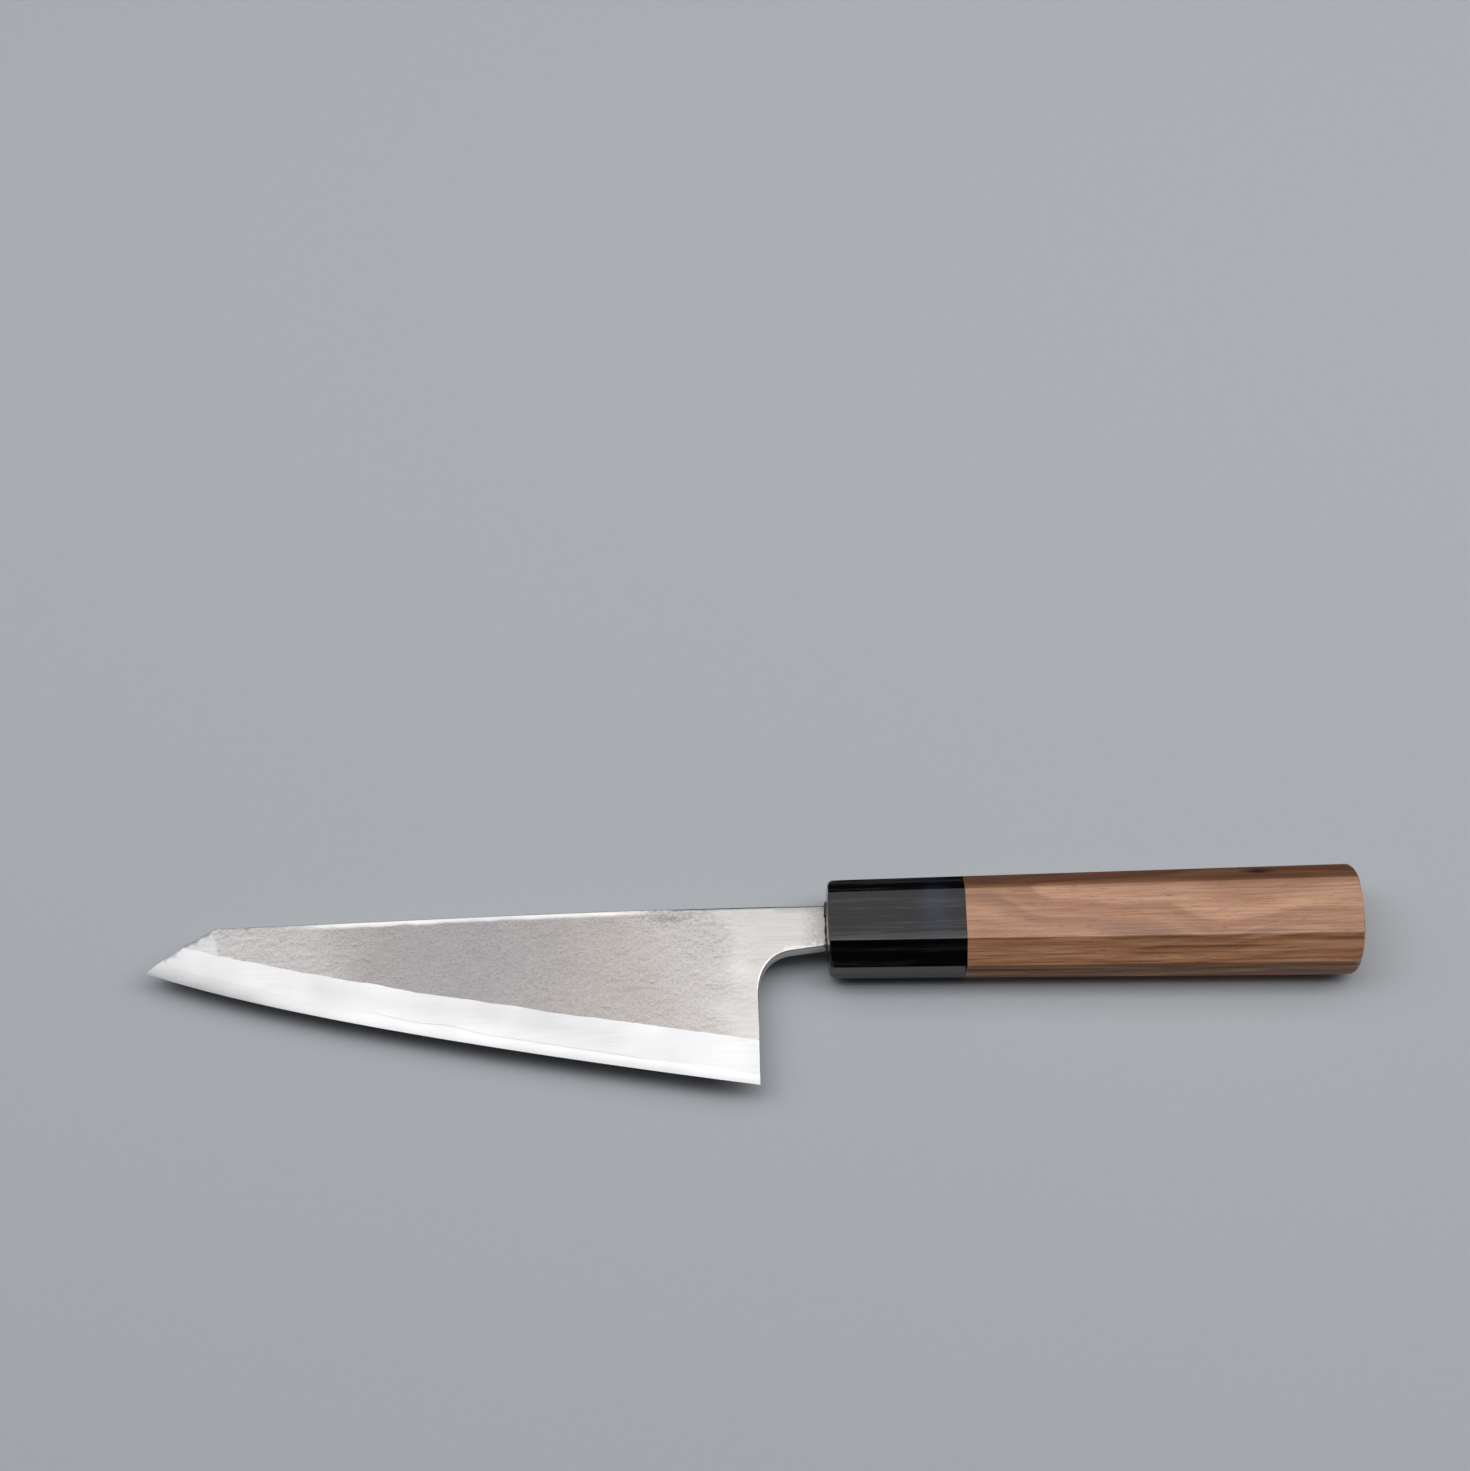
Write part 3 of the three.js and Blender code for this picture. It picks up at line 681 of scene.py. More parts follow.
# A curve from start to end, whose two control points are shares of the way along x and y
def bowed(start, end, shares, steps):
    one, two = [np.array([lerp(start[0], end[0], s[0]), lerp(start[1], end[1], s[1])]) for s in shares]
    t = np.linspace(0, 1, steps)[:, None]
    return single(
        start * (1 - t) ** 3 + 3 * one * t * (1 - t) ** 2 + 3 * two * t * t * (1 - t) + end * t ** 3)


def quadratic(start, middle, end, steps):
    t = np.linspace(0, 1, steps)[:, None]
    return single(start * (1 - t) ** 2 + 2 * middle * t * (1 - t) + end * t * t)


edgeLine = bowed(tip, heel, blade["edgeBowShares"], blade["edgeSteps"])
neckTop = np.array([mouthX, blade["spineRise"]])
spineLine = bowed(neckTop, pointCorner, blade["spineBowShares"], blade["spineSteps"])


def cutCurve():
    cut = pointCorner - tip
    outwards = np.array([-cut[1], cut[0]]) / np.hypot(*cut)
    swell = tip + cut * blade["pointBowShare"] + outwards * 2 * blade["pointBow"]
    return quadratic(pointCorner, swell, tip, blade["curveSteps"])


def lowerCurve():  # heel's end face, choil and the neck's underside
    choilTop = -blade["neckDepth"] - blade["neckFlare"]
    slope = blade["neckFlare"] / (blade["neckLength"] - blade["choilRun"] - blade["mouthReach"])
    corner = np.array([heelX, choilTop - slope * blade["choilRun"]])
    choilStart = corner - [0, blade["choilDrop"]]
    choilEnd = np.array([heelX + blade["choilRun"], choilTop])
    return single(np.vstack([
        np.linspace(heel, choilStart, blade["curveSteps"]),
        quadratic(choilStart, corner, choilEnd, blade["curveSteps"])[1:],
        np.linspace(choilEnd, [mouthX, -blade["neckDepth"]], blade["neckSteps"])[1:],
    ]))


def tangCurve():
    half, point = blade["tangEndHeight"] / 2, blade["tangPointHeight"] / 2
    corner = tangEndX - blade["tangPointLength"]
    return single([
        [shoulderX, -blade["neckDepth"]], [shoulderX, -blade["tangHeight"] / 2], [corner, -half],
        [tangEndX, -point], [tangEndX, point], [corner, half], [shoulderX, blade["tangHeight"] / 2],
        [shoulderX, blade["spineRise"]],
    ])


cutLine, lowerLine, tangLine = cutCurve(), lowerCurve(), tangCurve()


def edgeAt(x):
    return np.interp(x, edgeLine[:, 0], edgeLine[:, 1])


def spineAt(x):
    return np.interp(x, spineLine[::-1, 0], spineLine[::-1, 1])


def spineHalf(x):
    onTang = lerp(blade["neckThickness"], blade["tangEndThickness"], (x - shoulderX) / blade["tangLength"])
    onBlade = lerp(blade["neckThickness"], blade["pointThickness"], (heelX - x) / (heelX - pointCorner[0]))
    return np.where(x > shoulderX, onTang, np.where(x > heelX, blade["neckThickness"], onBlade)) / 2


def reachAt(x):  # 0 at the heel, 1 at the tip
    return np.clip((heelX - x) / (heelX - tip[0]), 0, 1)


def roadRise(x):
    return lerp(blade["bevelRise"], blade["pointBevelRise"], reachAt(x) ** blade["bevelFadePower"])


def roadHalf(x):
    return spineHalf(x) * lerp(blade["roadHeelShare"], blade["roadPointShare"], reachAt(x))


def layerAt(x):  # from the middle of the blade to where the hard core meets the cladding
    wave = softNoise(x, 0 * x, blade["layerCell"], blade["layerSeed"])
    return blade["coreThickness"] / 2 + blade["layerWave"] * wave


def bevelAt(x, y):  # half the thickness on the honed bevel and on the wide one, carried on upwards
    rise = y - edgeAt(x)
    honed = lerp(blade["edgeLand"], blade["edgeBevelThickness"], rise / blade["edgeBevelWidth"]) / 2
    share = (rise - blade["edgeBevelWidth"]) / (roadRise(x) - blade["edgeBevelWidth"])
    wide = lerp(blade["edgeBevelThickness"] / 2, roadHalf(x), share)
    return np.where(rise < blade["edgeBevelWidth"], honed, wide)


skin = {
    "start": ((-147.7, 2.3), (-146.1, -4.3)), "startBlur": 0.5,  # a line behind the dressed point
    "fade": (-31, -11), "fadeWander": 4, "fadeCell": 5, "fadeSeed": 32,  # towards the neck
    "stripStarts": (-132.8, -120.8), "stripEnds": (-52, -36),    # the spine's dressed border
    "stripWidth": 1.1, "stripWander": 0.15, "stripCell": 3.5, "stripSeed": 31, "stripBlur": (-0.6, 0.4),
    # places along the blade and how coarse the skin is there: rough near the point and the heel
    "coarseness": ((-147, 1.7), (-118, 1.3), (-95, 0.7), (-65, 0.75), (-45, 1.25), (-25, 1.35)),
    "bumps": ((0.015, 1.8, 1.1), (0.014, 1.5, 0.62)),            # height, stretch and size
    "pits": (0.05, 1.2, 1.0), "pitShare": (0.78, 0.97),
    "waves": ((0.035, 9), (0.02, 3.5)), "sunk": 0.03,            # height and size, and how deep they lie
    "bevelBlur": 0.8, "neckFade": (-6, -1),                      # the latter before the resin
    "leftSeed": 21, "rightSeed": 51,
}

# How white the wide bevel is painted, as painted light and shade: pairs of a share of its height and its
# painted tone there, and between which shares of the blade's length one passes into the next
polish = {
    "heel": ((0, 1), (1, 0.94)),
    "middle": ((0, 0.8), (0.25, 0.75), (0.4, 0.7), (0.65, 0.55), (1, 0.65)),
    "point": ((0, 0.05), (0.15, 0.25), (0.3, 0.44), (0.45, 0.58), (1, 0.58)),
    "fromHeel": (0.03, 0.35), "toPoint": (0.68, 0.88),
    "weldStarts": (-122, -104), "weldEnds": (-48, -34), "weldHidden": 0.4,  # polished away beyond
}


def forgedAt(x, y):  # 1 on the forged skin, 0 on the dressed point, neck and border of the spine
    (x0, y0), (x1, y1) = skin["start"]
    behindPoint = x - lerp(x0, x1, (y - y0) / (y1 - y0))
    onStrip = smoothStep(*skin["stripStarts"], x) * (1 - smoothStep(*skin["stripEnds"], x))
    wander = skin["stripWander"] * softNoise(x, 0 * x, skin["stripCell"], skin["stripSeed"])
    border = spineAt(x) - skin["stripWidth"] * (1 + wander)
    offStrip = 1 - onStrip * smoothStep(*skin["stripBlur"], y - border)
    wander = skin["fadeWander"] * softNoise(x, y, skin["fadeCell"], skin["fadeSeed"])
    fading = 1 - smoothStep(*skin["fade"], x + wander)
    return smoothStep(-skin["startBlur"], skin["startBlur"], behindPoint) * fading * offStrip


def coarsenessAt(x):
    return np.interp(x, *zip(*skin["coarseness"]))


# painted light and shade on the wide bevel, by share of its height and place along the blade
def polishAt(x, y):
    share = np.clip((y - edgeAt(x)) / roadRise(x), 0, 1)
    atHeel, atMiddle, atPoint = [
        np.interp(share, *zip(*polish[part])) for part in ("heel", "middle", "point")]
    behind = lerp(atHeel, atMiddle, smoothStep(*polish["fromHeel"], reachAt(x)))
    return lerp(behind, atPoint, smoothStep(*polish["toPoint"], reachAt(x)))


def flatAt(x, y, seed):  # half the thickness on the flat, which is forged and never quite even
    top = spineAt(np.minimum(x, mouthX)) - blade["spineEase"]
    road = edgeAt(x) + roadRise(x)
    plain = lerp(spineHalf(x), roadHalf(x), (top - np.minimum(y, top)) / (top - road))
    relief = sum(height * softNoise(x / stretch, y, cell, seed + i)
                 for i, (height, stretch, cell) in enumerate(skin["bumps"]))
    depth, stretch, cell = skin["pits"]
    relief -= depth * smoothStep(*skin["pitShare"], softNoise(x / stretch, y, cell, seed + 3))
    aboveRoad = smoothStep(-skin["bevelBlur"], skin["bevelBlur"], y - road)
    relief *= coarsenessAt(x) * forgedAt(x, y) * aboveRoad
    waves = sum(height * softNoise(x, y, cell, seed + 4 + i)
                for i, (height, cell) in enumerate(skin["waves"])) - skin["sunk"]
    start, end = skin["neckFade"]
    return plain + (relief + waves) * (1 - smoothStep(mouthX + start, mouthX + end, x))


def layerCurve():  # the weld line, where the core comes out of the wide bevel
    x = edgeLine[:, 0]
    halfEdge = blade["edgeBevelThickness"] / 2
    share = (layerAt(x) - halfEdge) / (roadHalf(x) - halfEdge)
    return single(np.column_stack([x, edgeLine[:, 1] + lerp(blade["edgeBevelWidth"], roadRise(x), share)]))


def roadCurve(seed):  # where the wide bevel meets the uneven flat
    x = edgeLine[:, 0]
    slope = (roadHalf(x) - blade["edgeBevelThickness"] / 2) / (roadRise(x) - blade["edgeBevelWidth"])
    y = edgeLine[:, 1] + roadRise(x)
    for _ in range(blade["roadRounds"]):
        y = y + 0.5 * (flatAt(x, y, seed) - bevelAt(x, y)) / slope
    return single(np.column_stack([x, y]))


meshing = {  # millimetres between the points of the blade's meshes
    "grain": 0.27,         # on the forged flats
    "coarse": 1.62, "hidden": 5,
    "grainClear": 0.189, "rowClear": 0.108, "borderClear": 0.025, "hiddenClear": 2, "endClear": 0.05,
    "sameSpot": 1e-6,      # within which triangulated points become one
    # depths of the rows of points that carry a border's round
    "spineRows": (0.04, 0.1, 0.17, 0.25, 0.36, 0.5, 0.68),
    "lowerRows": (0.03, 0.09, 0.17, 0.28, 0.42),
    "cutRows": (0.05, 0.13),
    "steep": 0.15,         # faces that point up less than this belong to the sides
    "spineBuffed": 0.94, "lowerBuffed": 0.8,  # shares of the rounds that are buffed bright
    "claddingCrease": 35, "coreCrease": 20,   # degrees, past which an edge is drawn sharp
}


def withCrossing(curve, line):  # the curve with the point added at which the line runs into it
    gap = curve[:, 1] - np.interp(curve[:, 0], line[:, 0], line[:, 1])
    i = np.nonzero(np.diff(np.sign(gap)))[0][0]
    point = single(lerp(curve[i], curve[i + 1], gap[i] / (gap[i] - gap[i + 1])))
    return np.insert(curve, i + 1, point, axis=0), point


def crossings(cut, lower, line):  # both borders that a line along the blade runs into
    cut, start = withCrossing(cut, line)
    lower, end = withCrossing(lower, line)
    return cut, lower, start, end


def between(line, start, end):  # the stretch of a line from one new end point to another
    clear = meshing["endClear"]
    inner = line[(line[:, 0] > start[0] + clear) & (line[:, 0] < end[0] - clear)]
    return np.vstack([start, inner, end])


def treeOf(points):
    tree = kdtree.KDTree(len(points))
    for i, (x, y) in enumerate(points):
        tree.insert((x, y, 0), i)
    tree.balance()
    return tree


def distanceTo(points, line):  # to the two stretches that meet at the line's nearest point
    tree = treeOf(line)
    found = np.array([tree.find((x, y, 0))[1] for x, y in points])
    best = np.full(len(points), np.inf)
    for step in (-1, 0):
        start = np.clip(found + step, 0, len(line) - 2)
        a, c = line[start], line[start + 1]
        run = c - a
        t = np.clip(((points - a) * run).sum(1) / (run * run).sum(1), 0, 1)[:, None]
        best = np.minimum(best, np.hypot(*(points - a - run * t).T))
    return best


def spineEaseAt(x):
    return lerp(blade["crispEase"], blade["spineEase"], smoothStep(*blade["spineEaseGrows"], x))


def sideEaseAt(y):
    low, high = blade["sideEaseGrows"]
    grown = smoothStep(low - blade["heelDepth"], high - blade["heelDepth"], y)
    return lerp(blade["heelEase"], blade["sideEase"], grown)


def faceHeight(points, seed):  # the flat or the bevel, rounded down towards the borders
    x, y = points.T
    z = np.minimum(flatAt(x, y, seed), bevelAt(x, y))
    room = np.maximum(z - layerAt(x), 0)
    fall = np.zeros(len(points))
    rounds = (spineLine, spineEaseAt(x)), (lowerLine, sideEaseAt(y)), (cutLine, blade["cutEase"])
    for line, radius in rounds:
        r = np.minimum(radius, blade["easeShare"] * room)
        d = np.minimum(distanceTo(points, line), r)
        fall = np.maximum(fall, r - np.sqrt(np.maximum(r * r - (r - d) ** 2, 0)))
    return z - fall


def rowsInside(line, depths):  # copies of a border, each a little further in
    run = np.gradient(line, axis=0)
    run /= np.hypot(*run.T)[:, None]
    inwards = np.column_stack([-run[:, 1], run[:, 0]])
    return np.vstack([line + inwards * depth for depth in depths])


def gridOver(spacing):  # places in staggered rows over the whole blade and tang
    along = np.arange(tip[0], tangEndX, spacing)
    x, y = np.meshgrid(along, np.arange(-blade["heelDepth"], blade["spineRise"] + 1, spacing))
    shift = (np.arange(len(x)) % 2 * spacing / 2)[:, None]
    return np.column_stack([(x + shift).ravel(), y.ravel()])


def isInside(loop, points):
    order = np.argsort(points[:, 1])
    x, y = points[order].T
    hit = np.zeros(len(points), bool)
    for a, c in zip(loop, np.roll(loop, -1, axis=0)):
        if a[1] != c[1]:
            i, j = np.searchsorted(y, sorted((a[1], c[1])))
            hit[i:j] ^= x[i:j] < a[0] + (c[0] - a[0]) * (y[i:j] - a[1]) / (c[1] - a[1])
    inside = np.zeros(len(points), bool)
    inside[order] = hit
    return inside


def insideOf(loop, points):
    return points[isInside(loop, points)]


def clearOf(points, others, gap):
    tree = treeOf(others)
    return points[np.array([tree.find((x, y, 0))[2] > gap for x, y in points], bool)]


# Triangles inside a loop, with edges along its lines and corners at its inner points
def triangulate(loop, lines=(), inner=()):
    count = len(loop)
    points = [loop]
    edges = [(i, (i + 1) % count) for i in range(count)]
    for line in lines:
        edges += [(count + i, count + i + 1) for i in range(len(line) - 1)]
        points.append(line)
        count += len(line)
    if len(inner):
        points.append(inner)
    kind = 1  # keeps the triangles that the edges enclose
    made = geometry.delaunay_2d_cdt(
        [Vector(p) for p in np.vstack(points)], edges, [], kind, meshing["sameSpot"], False)
    points, faces = np.array([tuple(p) for p in made[0]]), np.array(made[2])
    return points, faces[isInside(loop, points[faces].mean(1))]


def wallOf(line, low, high):  # a strip of triangles over a line, from one height to another
    count = len(line)
    points = np.vstack([np.column_stack([line, low]), np.column_stack([line, high])])
    faces = [(i, i + 1, count + i + 1) for i in range(count - 1)]
    faces += [(i, count + i + 1, count + i) for i in range(count - 1)]
    return points, np.array(faces)


def joined(name, shells):
    start, points, faces = 0, [], []
    for shellPoints, shellFaces in shells:
        points.append(shellPoints)
        faces.append(shellFaces + start)
        start += len(shellPoints)
    return facedMesh(name, np.vstack(points), np.vstack(faces).tolist())


def lifted(plan, height):  # a flat mesh with a height for each of its points
    return np.column_stack([plan[0], height]), plan[1]


def sharpenBorders(mesh, crease):  # smooth but for sharp folds and where materials 0 and 1 meet
    mesh.shade_smooth()
    mesh.set_sharp_from_angle(angle=math.radians(crease))
    edges = readOut(mesh.loops, "edge_index").astype(int)
    material = np.repeat(readOut(mesh.polygons, "material_index"), 3)
    low, high = np.full(len(mesh.edges), np.inf), np.full(len(mesh.edges), -1.0)
    np.minimum.at(low, edges, material)
    np.maximum.at(high, edges, material)
    sharp = readOut(mesh.attributes["sharp_edge"].data, "value").astype(bool)
    mesh.attributes["sharp_edge"].data.foreach_set("value", sharp | ((low == 0) & (high == 1)))


def keepOnPoints(mesh, **functions):  # stores each function of x and y as an attribute for the materials
    x, y, _ = readOut(mesh.vertices, "co", 3).T
    for name, function in functions.items():
        mesh.attributes.new(name, "FLOAT", "POINT").data.foreach_set("value", function(x, y))


def overWeldAt(x, y):  # height over the weld line, which is polished away near the point and the heel
    shown = smoothStep(*polish["weldStarts"], x) * (1 - smoothStep(*polish["weldEnds"], x))
    return y - np.interp(x, *layerLine.T) + polish["weldHidden"] * (1 - shown)


def hiddenPoints(loop):
    return clearOf(insideOf(loop, gridOver(meshing["hidden"])), loop, meshing["hiddenClear"])


def aboveSeam(lower, cut, seamStart, seamEnd):  # the blade's and the tang's outline over the weld line
    return np.vstack([
        lower[lower[:, 1] > seamEnd[1]], tangLine, spineLine, cut[1:][cut[1:, 1] > seamStart[1]]])


def innerPoints(loop, road, border):  # rows along the rounded borders, then fine and coarse grids
    rows = np.vstack([
        rowsInside(spineLine, meshing["spineRows"]),
        rowsInside(lowerLine, meshing["lowerRows"]),
        rowsInside(cutLine, meshing["cutRows"]),
    ])
    outline = np.vstack([loop, border])
    rows = clearOf(insideOf(loop, rows), outline, meshing["borderClear"])
    fine, coarse = gridOver(meshing["grain"]), gridOver(meshing["coarse"])
    fine = fine[(forgedAt(*fine.T) > 0) & (fine[:, 1] > np.interp(fine[:, 0], *road.T))]
    coarse = coarse[coarse[:, 0] < shoulderX]
    coarse = coarse[(forgedAt(*coarse.T) == 0) | (coarse[:, 1] < np.interp(coarse[:, 0], *road.T))]
    inner = insideOf(loop, np.vstack([fine, coarse]))
    inner = clearOf(inner, outline, meshing["grainClear"])
    return np.vstack([rows, clearOf(inner, rows, meshing["rowClear"])])


def claddingMesh(side, seed):
    road = roadCurve(seed)
    cut, lower, roadStart, roadEnd = crossings(cutLine, lowerLine, road)
    cut, lower, seamStart, seamEnd = crossings(cut, lower, layerLine)
    border = between(road, roadStart, roadEnd)
    rest = aboveSeam(lower, cut, seamStart, seamEnd)
    loop = np.vstack([between(layerLine, seamStart, seamEnd), rest])
    top = triangulate(loop, [border], innerPoints(loop, road, border))
    back = triangulate(loop, [], hiddenPoints(loop))
    wallLine = np.vstack([seamEnd, rest, seamStart])
    mesh = joined("cladding", [
        lifted(top, side * faceHeight(top[0], seed)),
        lifted(back, side * layerAt(back[0][:, 0])),
        wallOf(wallLine, side * layerAt(wallLine[:, 0]), side * faceHeight(wallLine, seed)),
    ])
    x, y, _ = readOut(mesh.polygons, "center", 3).T
    plan = np.column_stack([x, y])
    up = side * readOut(mesh.polygons, "normal", 3)[:, 2]
    onBevel = (y < np.interp(x, *road.T)) & (x < heelX - meshing["endClear"])
    onRound = (distanceTo(plan, spineLine) < meshing["spineBuffed"] * spineEaseAt(x)) | (
        distanceTo(plan, lowerLine) < meshing["lowerBuffed"] * sideEaseAt(y))
    # 0 is the flat, 1 the bevel, 2 a side and 3 a rounded arris, as in the list of materials
    index = np.where(up < meshing["steep"], 2, np.where(onBevel, 1, np.where(onRound, 3, 0)))
    mesh.polygons.foreach_set("material_index", index)
    sharpenBorders(mesh, meshing["claddingCrease"])
    keepOnPoints(mesh, forged=forgedAt, polish=polishAt, overWeld=overWeldAt)
    return mesh


def coreMesh():
    honed = single(edgeLine + [0, blade["edgeBevelWidth"]])
    cut, lower, seamStart, seamEnd = crossings(cutLine, lowerLine, layerLine)
    cut, lower, honedStart, honedEnd = crossings(cut, lower, honed)
    seam = between(layerLine, seamStart, seamEnd)
    rest = aboveSeam(lower, cut, seamStart, seamEnd)
    under = lower[1:][lower[1:, 1] < seamEnd[1]]
    tipPart = cut[:-1][cut[:-1, 1] < seamStart[1]]
    hidden = np.vstack([seam, rest])
    covered = triangulate(hidden, [], hiddenPoints(hidden))
    shown = np.vstack([edgeLine, under, seam[::-1], tipPart])
    strip = triangulate(shown, [between(honed, honedStart, honedEnd)])
    around = np.vstack([edgeLine, under, seamEnd, rest, seamStart, tipPart, edgeLine[:1]])

    def height(points):
        return np.minimum(layerAt(points[:, 0]), bevelAt(points[:, 0], points[:, 1]))

    mesh = joined("core", [
        lifted(covered, layerAt(covered[0][:, 0])), lifted(covered, -layerAt(covered[0][:, 0])),
        lifted(strip, height(strip[0])), lifted(strip, -height(strip[0])),
        wallOf(around, -height(around), height(around)),
    ])
    flatness = np.abs(readOut(mesh.polygons, "normal", 3)[:, 2])
    mesh.polygons.foreach_set("material_index", (flatness < meshing["steep"]).astype(int))
    sharpenBorders(mesh, meshing["coreCrease"])
    # so far over the weld line that the core itself shows none
    keepOnPoints(mesh, polish=polishAt, overWeld=lambda x, y: 0 * x + blade["bevelRise"])
    return mesh


layerLine = layerCurve()
sides = emeriedSteel()
cladding = [pearSkinSteel(), stonedSteel("stonedStainless"), sides, buffedSteel()]
newPiece("claddingLeft", claddingMesh(1, skin["leftSeed"]), cladding, "cladding", "blade_cladding_left")
newPiece("claddingRight", claddingMesh(-1, skin["rightSeed"]), cladding, "cladding", "blade_cladding_right")
newPiece("core", coreMesh(), [stonedSteel("honedCarbonSteel"), sides], "core_steel", "blade_core")


print("resin")

bead = {
    "around": 180, "steps": 12, "clear": 0.02, "inset": (0.06, 0.08), "innerCorner": 0.45,
    "lump": 0.25,                             # height of the bead
    "lumps": ((0.13, 0.25), (0.1, 0.1)),      # how much it changes, and how fast from point to point
    "lumpSeed": 71,
    "blobAt": 2.8, "blobWidth": 0.95, "blob": 0.3,  # one larger blob on the upper face
    "outerDepth": 0.25, "innerRise": 0.05,    # where its two borders lie, behind and before the mouth
    "swellStart": 0.12, "swellPower": 0.6,
    "cloud": 1.4, "relief": 0.15, "creaseAngle": 50,
}


# Dark resin that oozed out round the neck as the tang was driven in, and set glossy
def setResin():
    material, tree, local = newMaterial("blackResin")
    cloud = addNode(tree, "ShaderNodeTexNoise", {
        "Vector": local, "Scale": 1 / bead["cloud"], "Detail": 3.0})
    colour = addNode(tree, "ShaderNodeValToRGB", {"Fac": cloud}, [(0.3, "#0b0807"), (0.75, "#2a1d16")])
    relief = addNode(tree, "ShaderNodeBump", {
        "Height": cloud, "Strength": 0.4, "Distance": bead["relief"] * mm})
    return finished(material, tree, {
        "Base Color": colour, "Roughness": 0.3, "IOR": 1.5, "Normal": relief})


def resinMesh():
    count, clear = bead["around"], bead["clear"]
    insetY, insetZ = bead["inset"]
    outer = roundedLoop(mouthLow + clear, mouthHigh - clear, halfMouth - clear,
                        handle["mouthCorner"], count)
    inner = roundedLoop(insetY - blade["neckDepth"], blade["spineRise"] - insetY,
                        blade["neckThickness"] / 2 - insetZ, bead["innerCorner"], count)
    around = np.arange(count)
    lumps = bead["lump"]
    for i, (change, pitch) in enumerate(bead["lumps"]):
        lumps = lumps + change * softNoise(around * pitch, 0 * around, 1.0, bead["lumpSeed"] + i)
    onTop = np.exp(-((inner[:, 0] - bead["blobAt"]) / bead["blobWidth"]) ** 2) * (inner[:, 1] > 0)
    lumps = lumps + bead["blob"] * onTop
    rings = []
    for share in np.linspace(0, 1, bead["steps"] + 1):  # from the mouth's wall in to the neck
        swell = 0
        if share < 1:
            swell = math.sin(math.pi * min(1, lerp(bead["swellStart"], 1, share))) ** bead["swellPower"]
        x = lumps[:, None] * -swell + lerp(bead["outerDepth"], -bead["innerRise"], share)
        rings.append(np.column_stack([np.maximum(x, mouthX + clear), lerp(outer, inner, share)]))
    for loop in (inner, outer):
        rings.append(np.column_stack([np.full(count, shoulderX - clear), loop]))
    mesh = ringsMesh("resin", rings, False)
    mesh.shade_smooth()
    mesh.set_sharp_from_angle(angle=math.radians(bead["creaseAngle"]))
    return mesh


newPiece("neckResin", resinMesh(), [setResin()], "resin", "tang_resin")


print("stage")

studio = {
    "lensMm": 69.13, "sensorMm": 36,
    "elevation": 65.495,      # degrees above the table
    "distance": 711.8,        # mm from the lens to the table in the middle of the picture
    "ferruleFront": (21.79, -55.41, 8.847),  # mm from that place on the table
    "turn": 1.0275,           # degrees that the knife is turned on the table
    "rise": 0.557,            # degrees that its axis rises, because it lies on a tapered facet
    "floorHalf": 20,          # metres from the middle of the floor to its sides
    "floorColour": "#c1c5ca", "speckColour": "#8f9398", "speckMm": 0.8,
    "roomColour": "#a8acb1",
    "roomLevel": 0.075,       # how much of that colour lights the knife, besides the softboxes
    "floorFade": (320, 1500),  # mm from the knife between which the floor turns into the room
}

# A bright softbox overhead, under a wide dim one: left, right, near and far side and height in metres, and
# level. They hang at two heights, because a reflection misses one of two lamps in the same plane.
softboxes = {
    "innerBox": (-0.9, 1.6, -0.12, 0.25, 1.1, 2.65),
    "outerBox": (-1.7, 2.0, -0.3, 0.8, 1.12, 0.94),
}

# Left and right side, near side and its height, far side and its height, in metres
blackCards = {
    # the card behind is partly painted shadow where it reaches the table, and the card in front is painted
    # shadow
    "cardBehind": (-0.015, 0.174, -0.022, 0.001, -0.006, 0.03),
    "shadowCardInFront": (0.056, 0.152, -0.088, 0.0005, -0.0685, 0.0005),
    "cardUnderLens": (-0.02, 0.26, -0.3, 0.02, -0.3, 0.3),
}


def tableTurn():
    turn, rise = math.radians(studio["turn"]), math.radians(studio["rise"])
    along = Vector((math.cos(turn) * math.cos(rise), math.sin(turn) * math.cos(rise), math.sin(rise)))
    across = Vector((-math.sin(turn), math.cos(turn), 0))
    return Matrix((along, across, along.cross(across)))


# From metres on the table, with the picture's middle as their zero, to the frame's metres
toFerrule = Matrix.Translation(-mm * Vector(studio["ferruleFront"]))
fromTable = Matrix.Translation(place) @ tableTurn().to_4x4() @ toFerrule


def placeOnTable(thing, x, y, z, tilt=0):
    bpy.context.scene.collection.objects.link(thing)
    thing.matrix_world = fromTable @ Matrix.Translation((x, y, z)) @ Matrix.Rotation(tilt, 4, "X")
    return thing


def seenOnly(tree):  # 1 for what the camera sees, directly or in gloss or glass, and 0 for light
    path = addNode(tree, "ShaderNodeLightPath").outputs
    seen = path["Is Camera Ray"]
    for ray in ("Is Glossy Ray", "Is Transmission Ray"):
        seen = addNode(tree, "ShaderNodeMath", {0: seen, 1: path[ray]}, operation="MAXIMUM")
    return seen


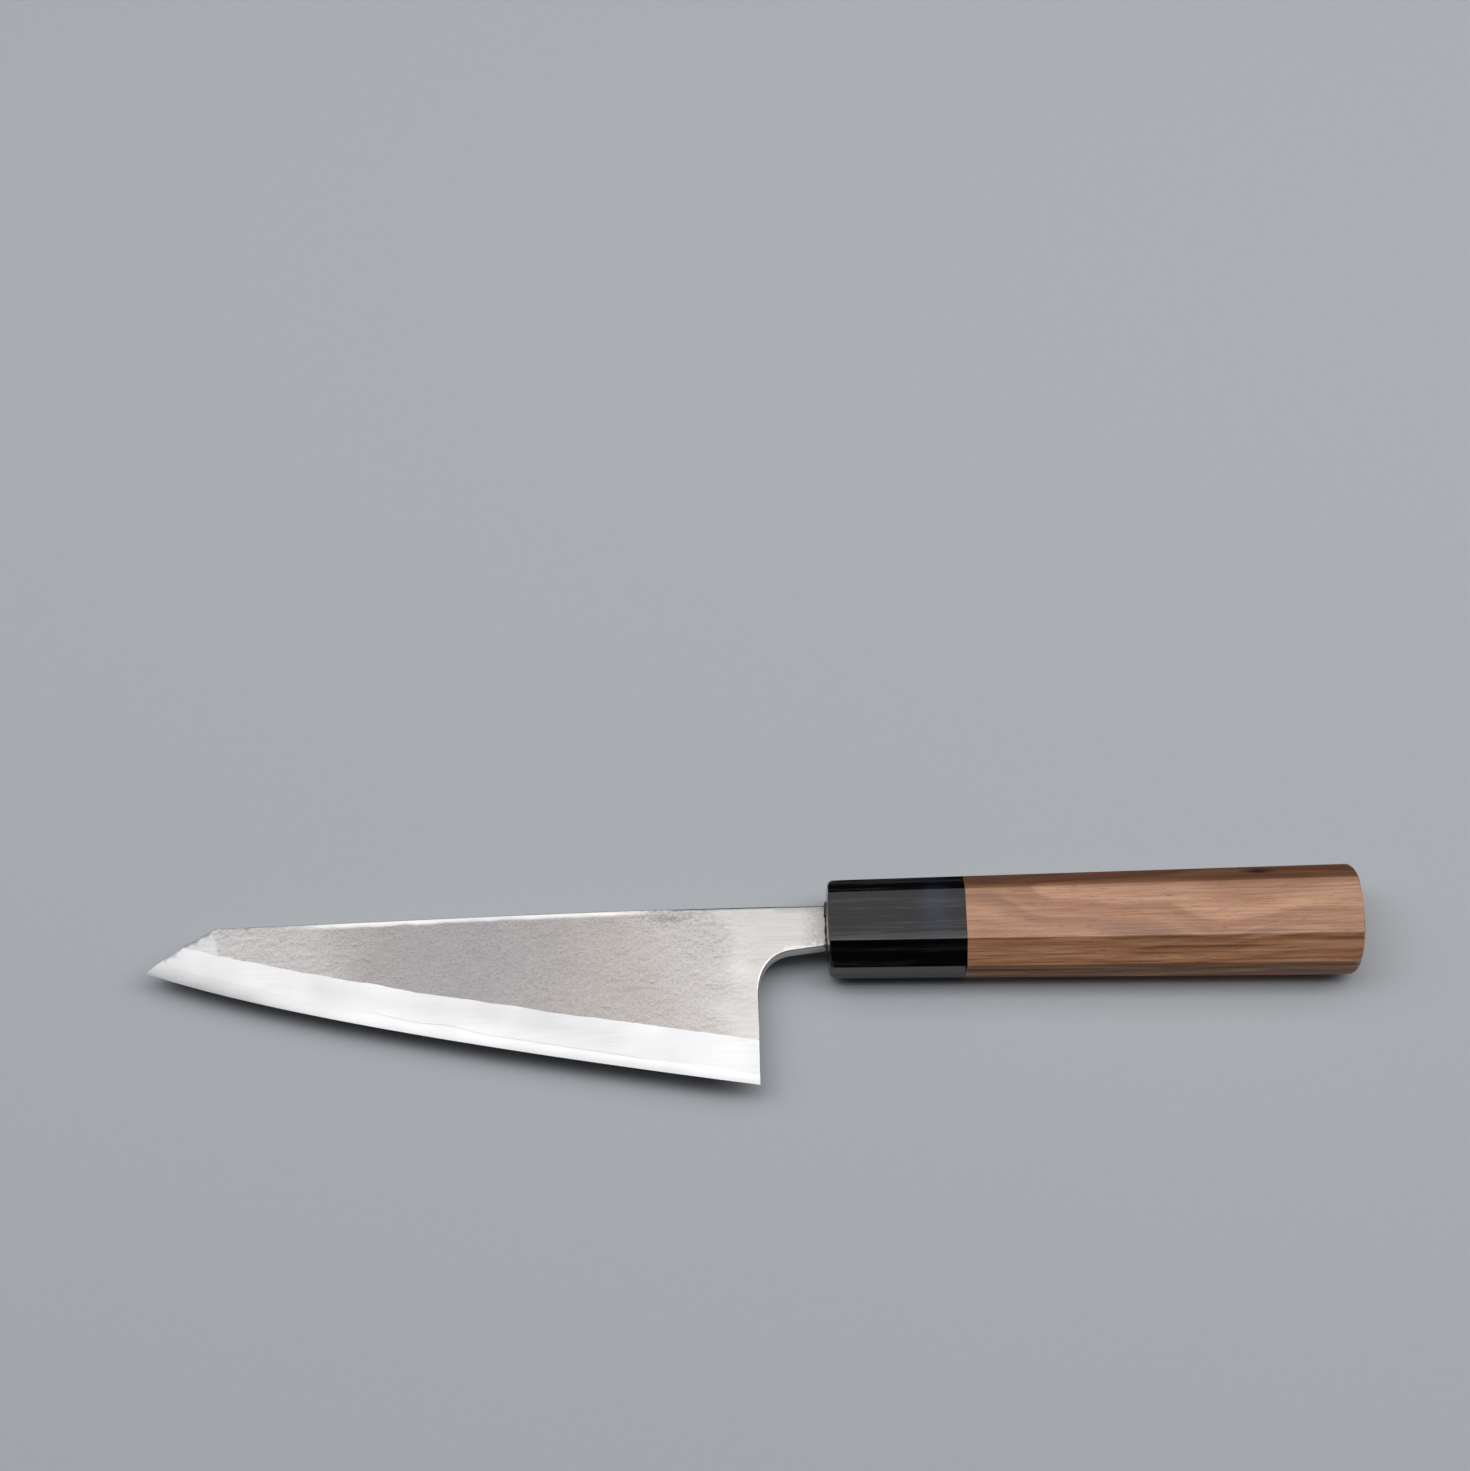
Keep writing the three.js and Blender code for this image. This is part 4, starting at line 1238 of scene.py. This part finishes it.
# Board painted a flat light grey, with the faintest specks. Far from the knife it turns into the colour
# of the room, so that no horizon shows.
def paintedBoard():
    material, tree, local = newMaterial("paintedBoard")
    specks = addNode(tree, "ShaderNodeTexNoise", {
        "Vector": local, "Scale": 1 / studio["speckMm"], "Detail": 2.0})
    amount = addNode(tree, "ShaderNodeMapRange", {
        "Value": specks, "From Min": 0.3, "From Max": 0.7, "To Max": 0.06})
    colour = addNode(tree, "ShaderNodeMix", {
        0: amount, 6: studio["floorColour"], 7: studio["speckColour"]}, data_type="RGBA")
    reach = addNode(tree, "ShaderNodeVectorMath", {0: local}, operation="LENGTH")
    nearby, faraway = studio["floorFade"]
    pale = addNode(tree, "ShaderNodeMapRange", {
        "Value": reach, "From Min": nearby, "From Max": faraway}, interpolation_type="SMOOTHSTEP")
    pale = addNode(tree, "ShaderNodeMath", {0: pale, 1: seenOnly(tree)}, operation="MULTIPLY")
    return finished(material, tree, {
        "Base Color": colour, "Roughness": 0.9, "Specular IOR Level": 0.0,
        "Emission Color": studio["roomColour"], "Emission Strength": pale})


def addSheet(name, corners, material):
    mesh = bpy.data.meshes.new(name)
    mesh.from_pydata(corners, [], [(0, 1, 2, 3)])
    mesh.materials.append(material)
    sheet = placeOnTable(bpy.data.objects.new(name, mesh), 0, 0, 0)
    return sheet


def addFloor():
    half = studio["floorHalf"]
    corners = [(-half, -half, 0), (half, -half, 0), (half, half, 0), (-half, half, 0)]
    addSheet("floor", corners, paintedBoard())


def addSoftboxes():
    for name, (left, right, near, far, height, level) in softboxes.items():
        lamp = bpy.data.lights.new(name, "AREA")
        lamp.shape = "RECTANGLE"
        lamp.size, lamp.size_y = right - left, far - near
        lamp.energy = level * math.pi * lamp.size * lamp.size_y
        placeOnTable(bpy.data.objects.new(name, lamp), (left + right) / 2, (near + far) / 2, height)


# Black paper, matt, so that it darkens what the side facets reflect. One card leans behind the handle,
# where it stands for a dark box and, where it meets the table, is painted shadow. One lies in front of it
# as painted shadow where the handle's contact shadow falls, and one stands further out. Only gloss sees
# them.
def addBlackCards():
    material, tree, _ = newMaterial("blackPaper")
    finished(material, tree, {"Base Color": "#050505", "Roughness": 0.9})
    for name, (left, right, near, nearHeight, far, farHeight) in blackCards.items():
        card = addSheet(name, [
            (left, near, nearHeight), (right, near, nearHeight),
            (right, far, farHeight), (left, far, farHeight)], material)
        for ray in ("camera", "diffuse", "shadow", "transmission"):
            setattr(card, "visible_" + ray, False)


def addCamera():
    data = bpy.data.cameras.new("camera")
    data.lens = studio["lensMm"]
    data.sensor_width = studio["sensorMm"]
    up = math.radians(studio["elevation"])
    reach = studio["distance"] * mm
    camera = placeOnTable(bpy.data.objects.new("camera", data),
                          0, -reach * math.cos(up), reach * math.sin(up), math.pi / 2 - up)
    bpy.context.scene.camera = camera


def paintRoom():
    world = bpy.data.worlds.new("room")
    world.use_nodes = True
    tree = world.node_tree
    tree.nodes.clear()
    level = addNode(tree, "ShaderNodeMapRange", {"Value": seenOnly(tree), "To Min": studio["roomLevel"]})
    background = addNode(tree, "ShaderNodeBackground", {
        "Color": studio["roomColour"], "Strength": level})
    addNode(tree, "ShaderNodeOutputWorld", {"Surface": background})
    bpy.context.scene.world = world


addFloor()
addSoftboxes()
addBlackCards()
addCamera()
paintRoom()
bpy.context.scene.view_settings.view_transform = "Standard"
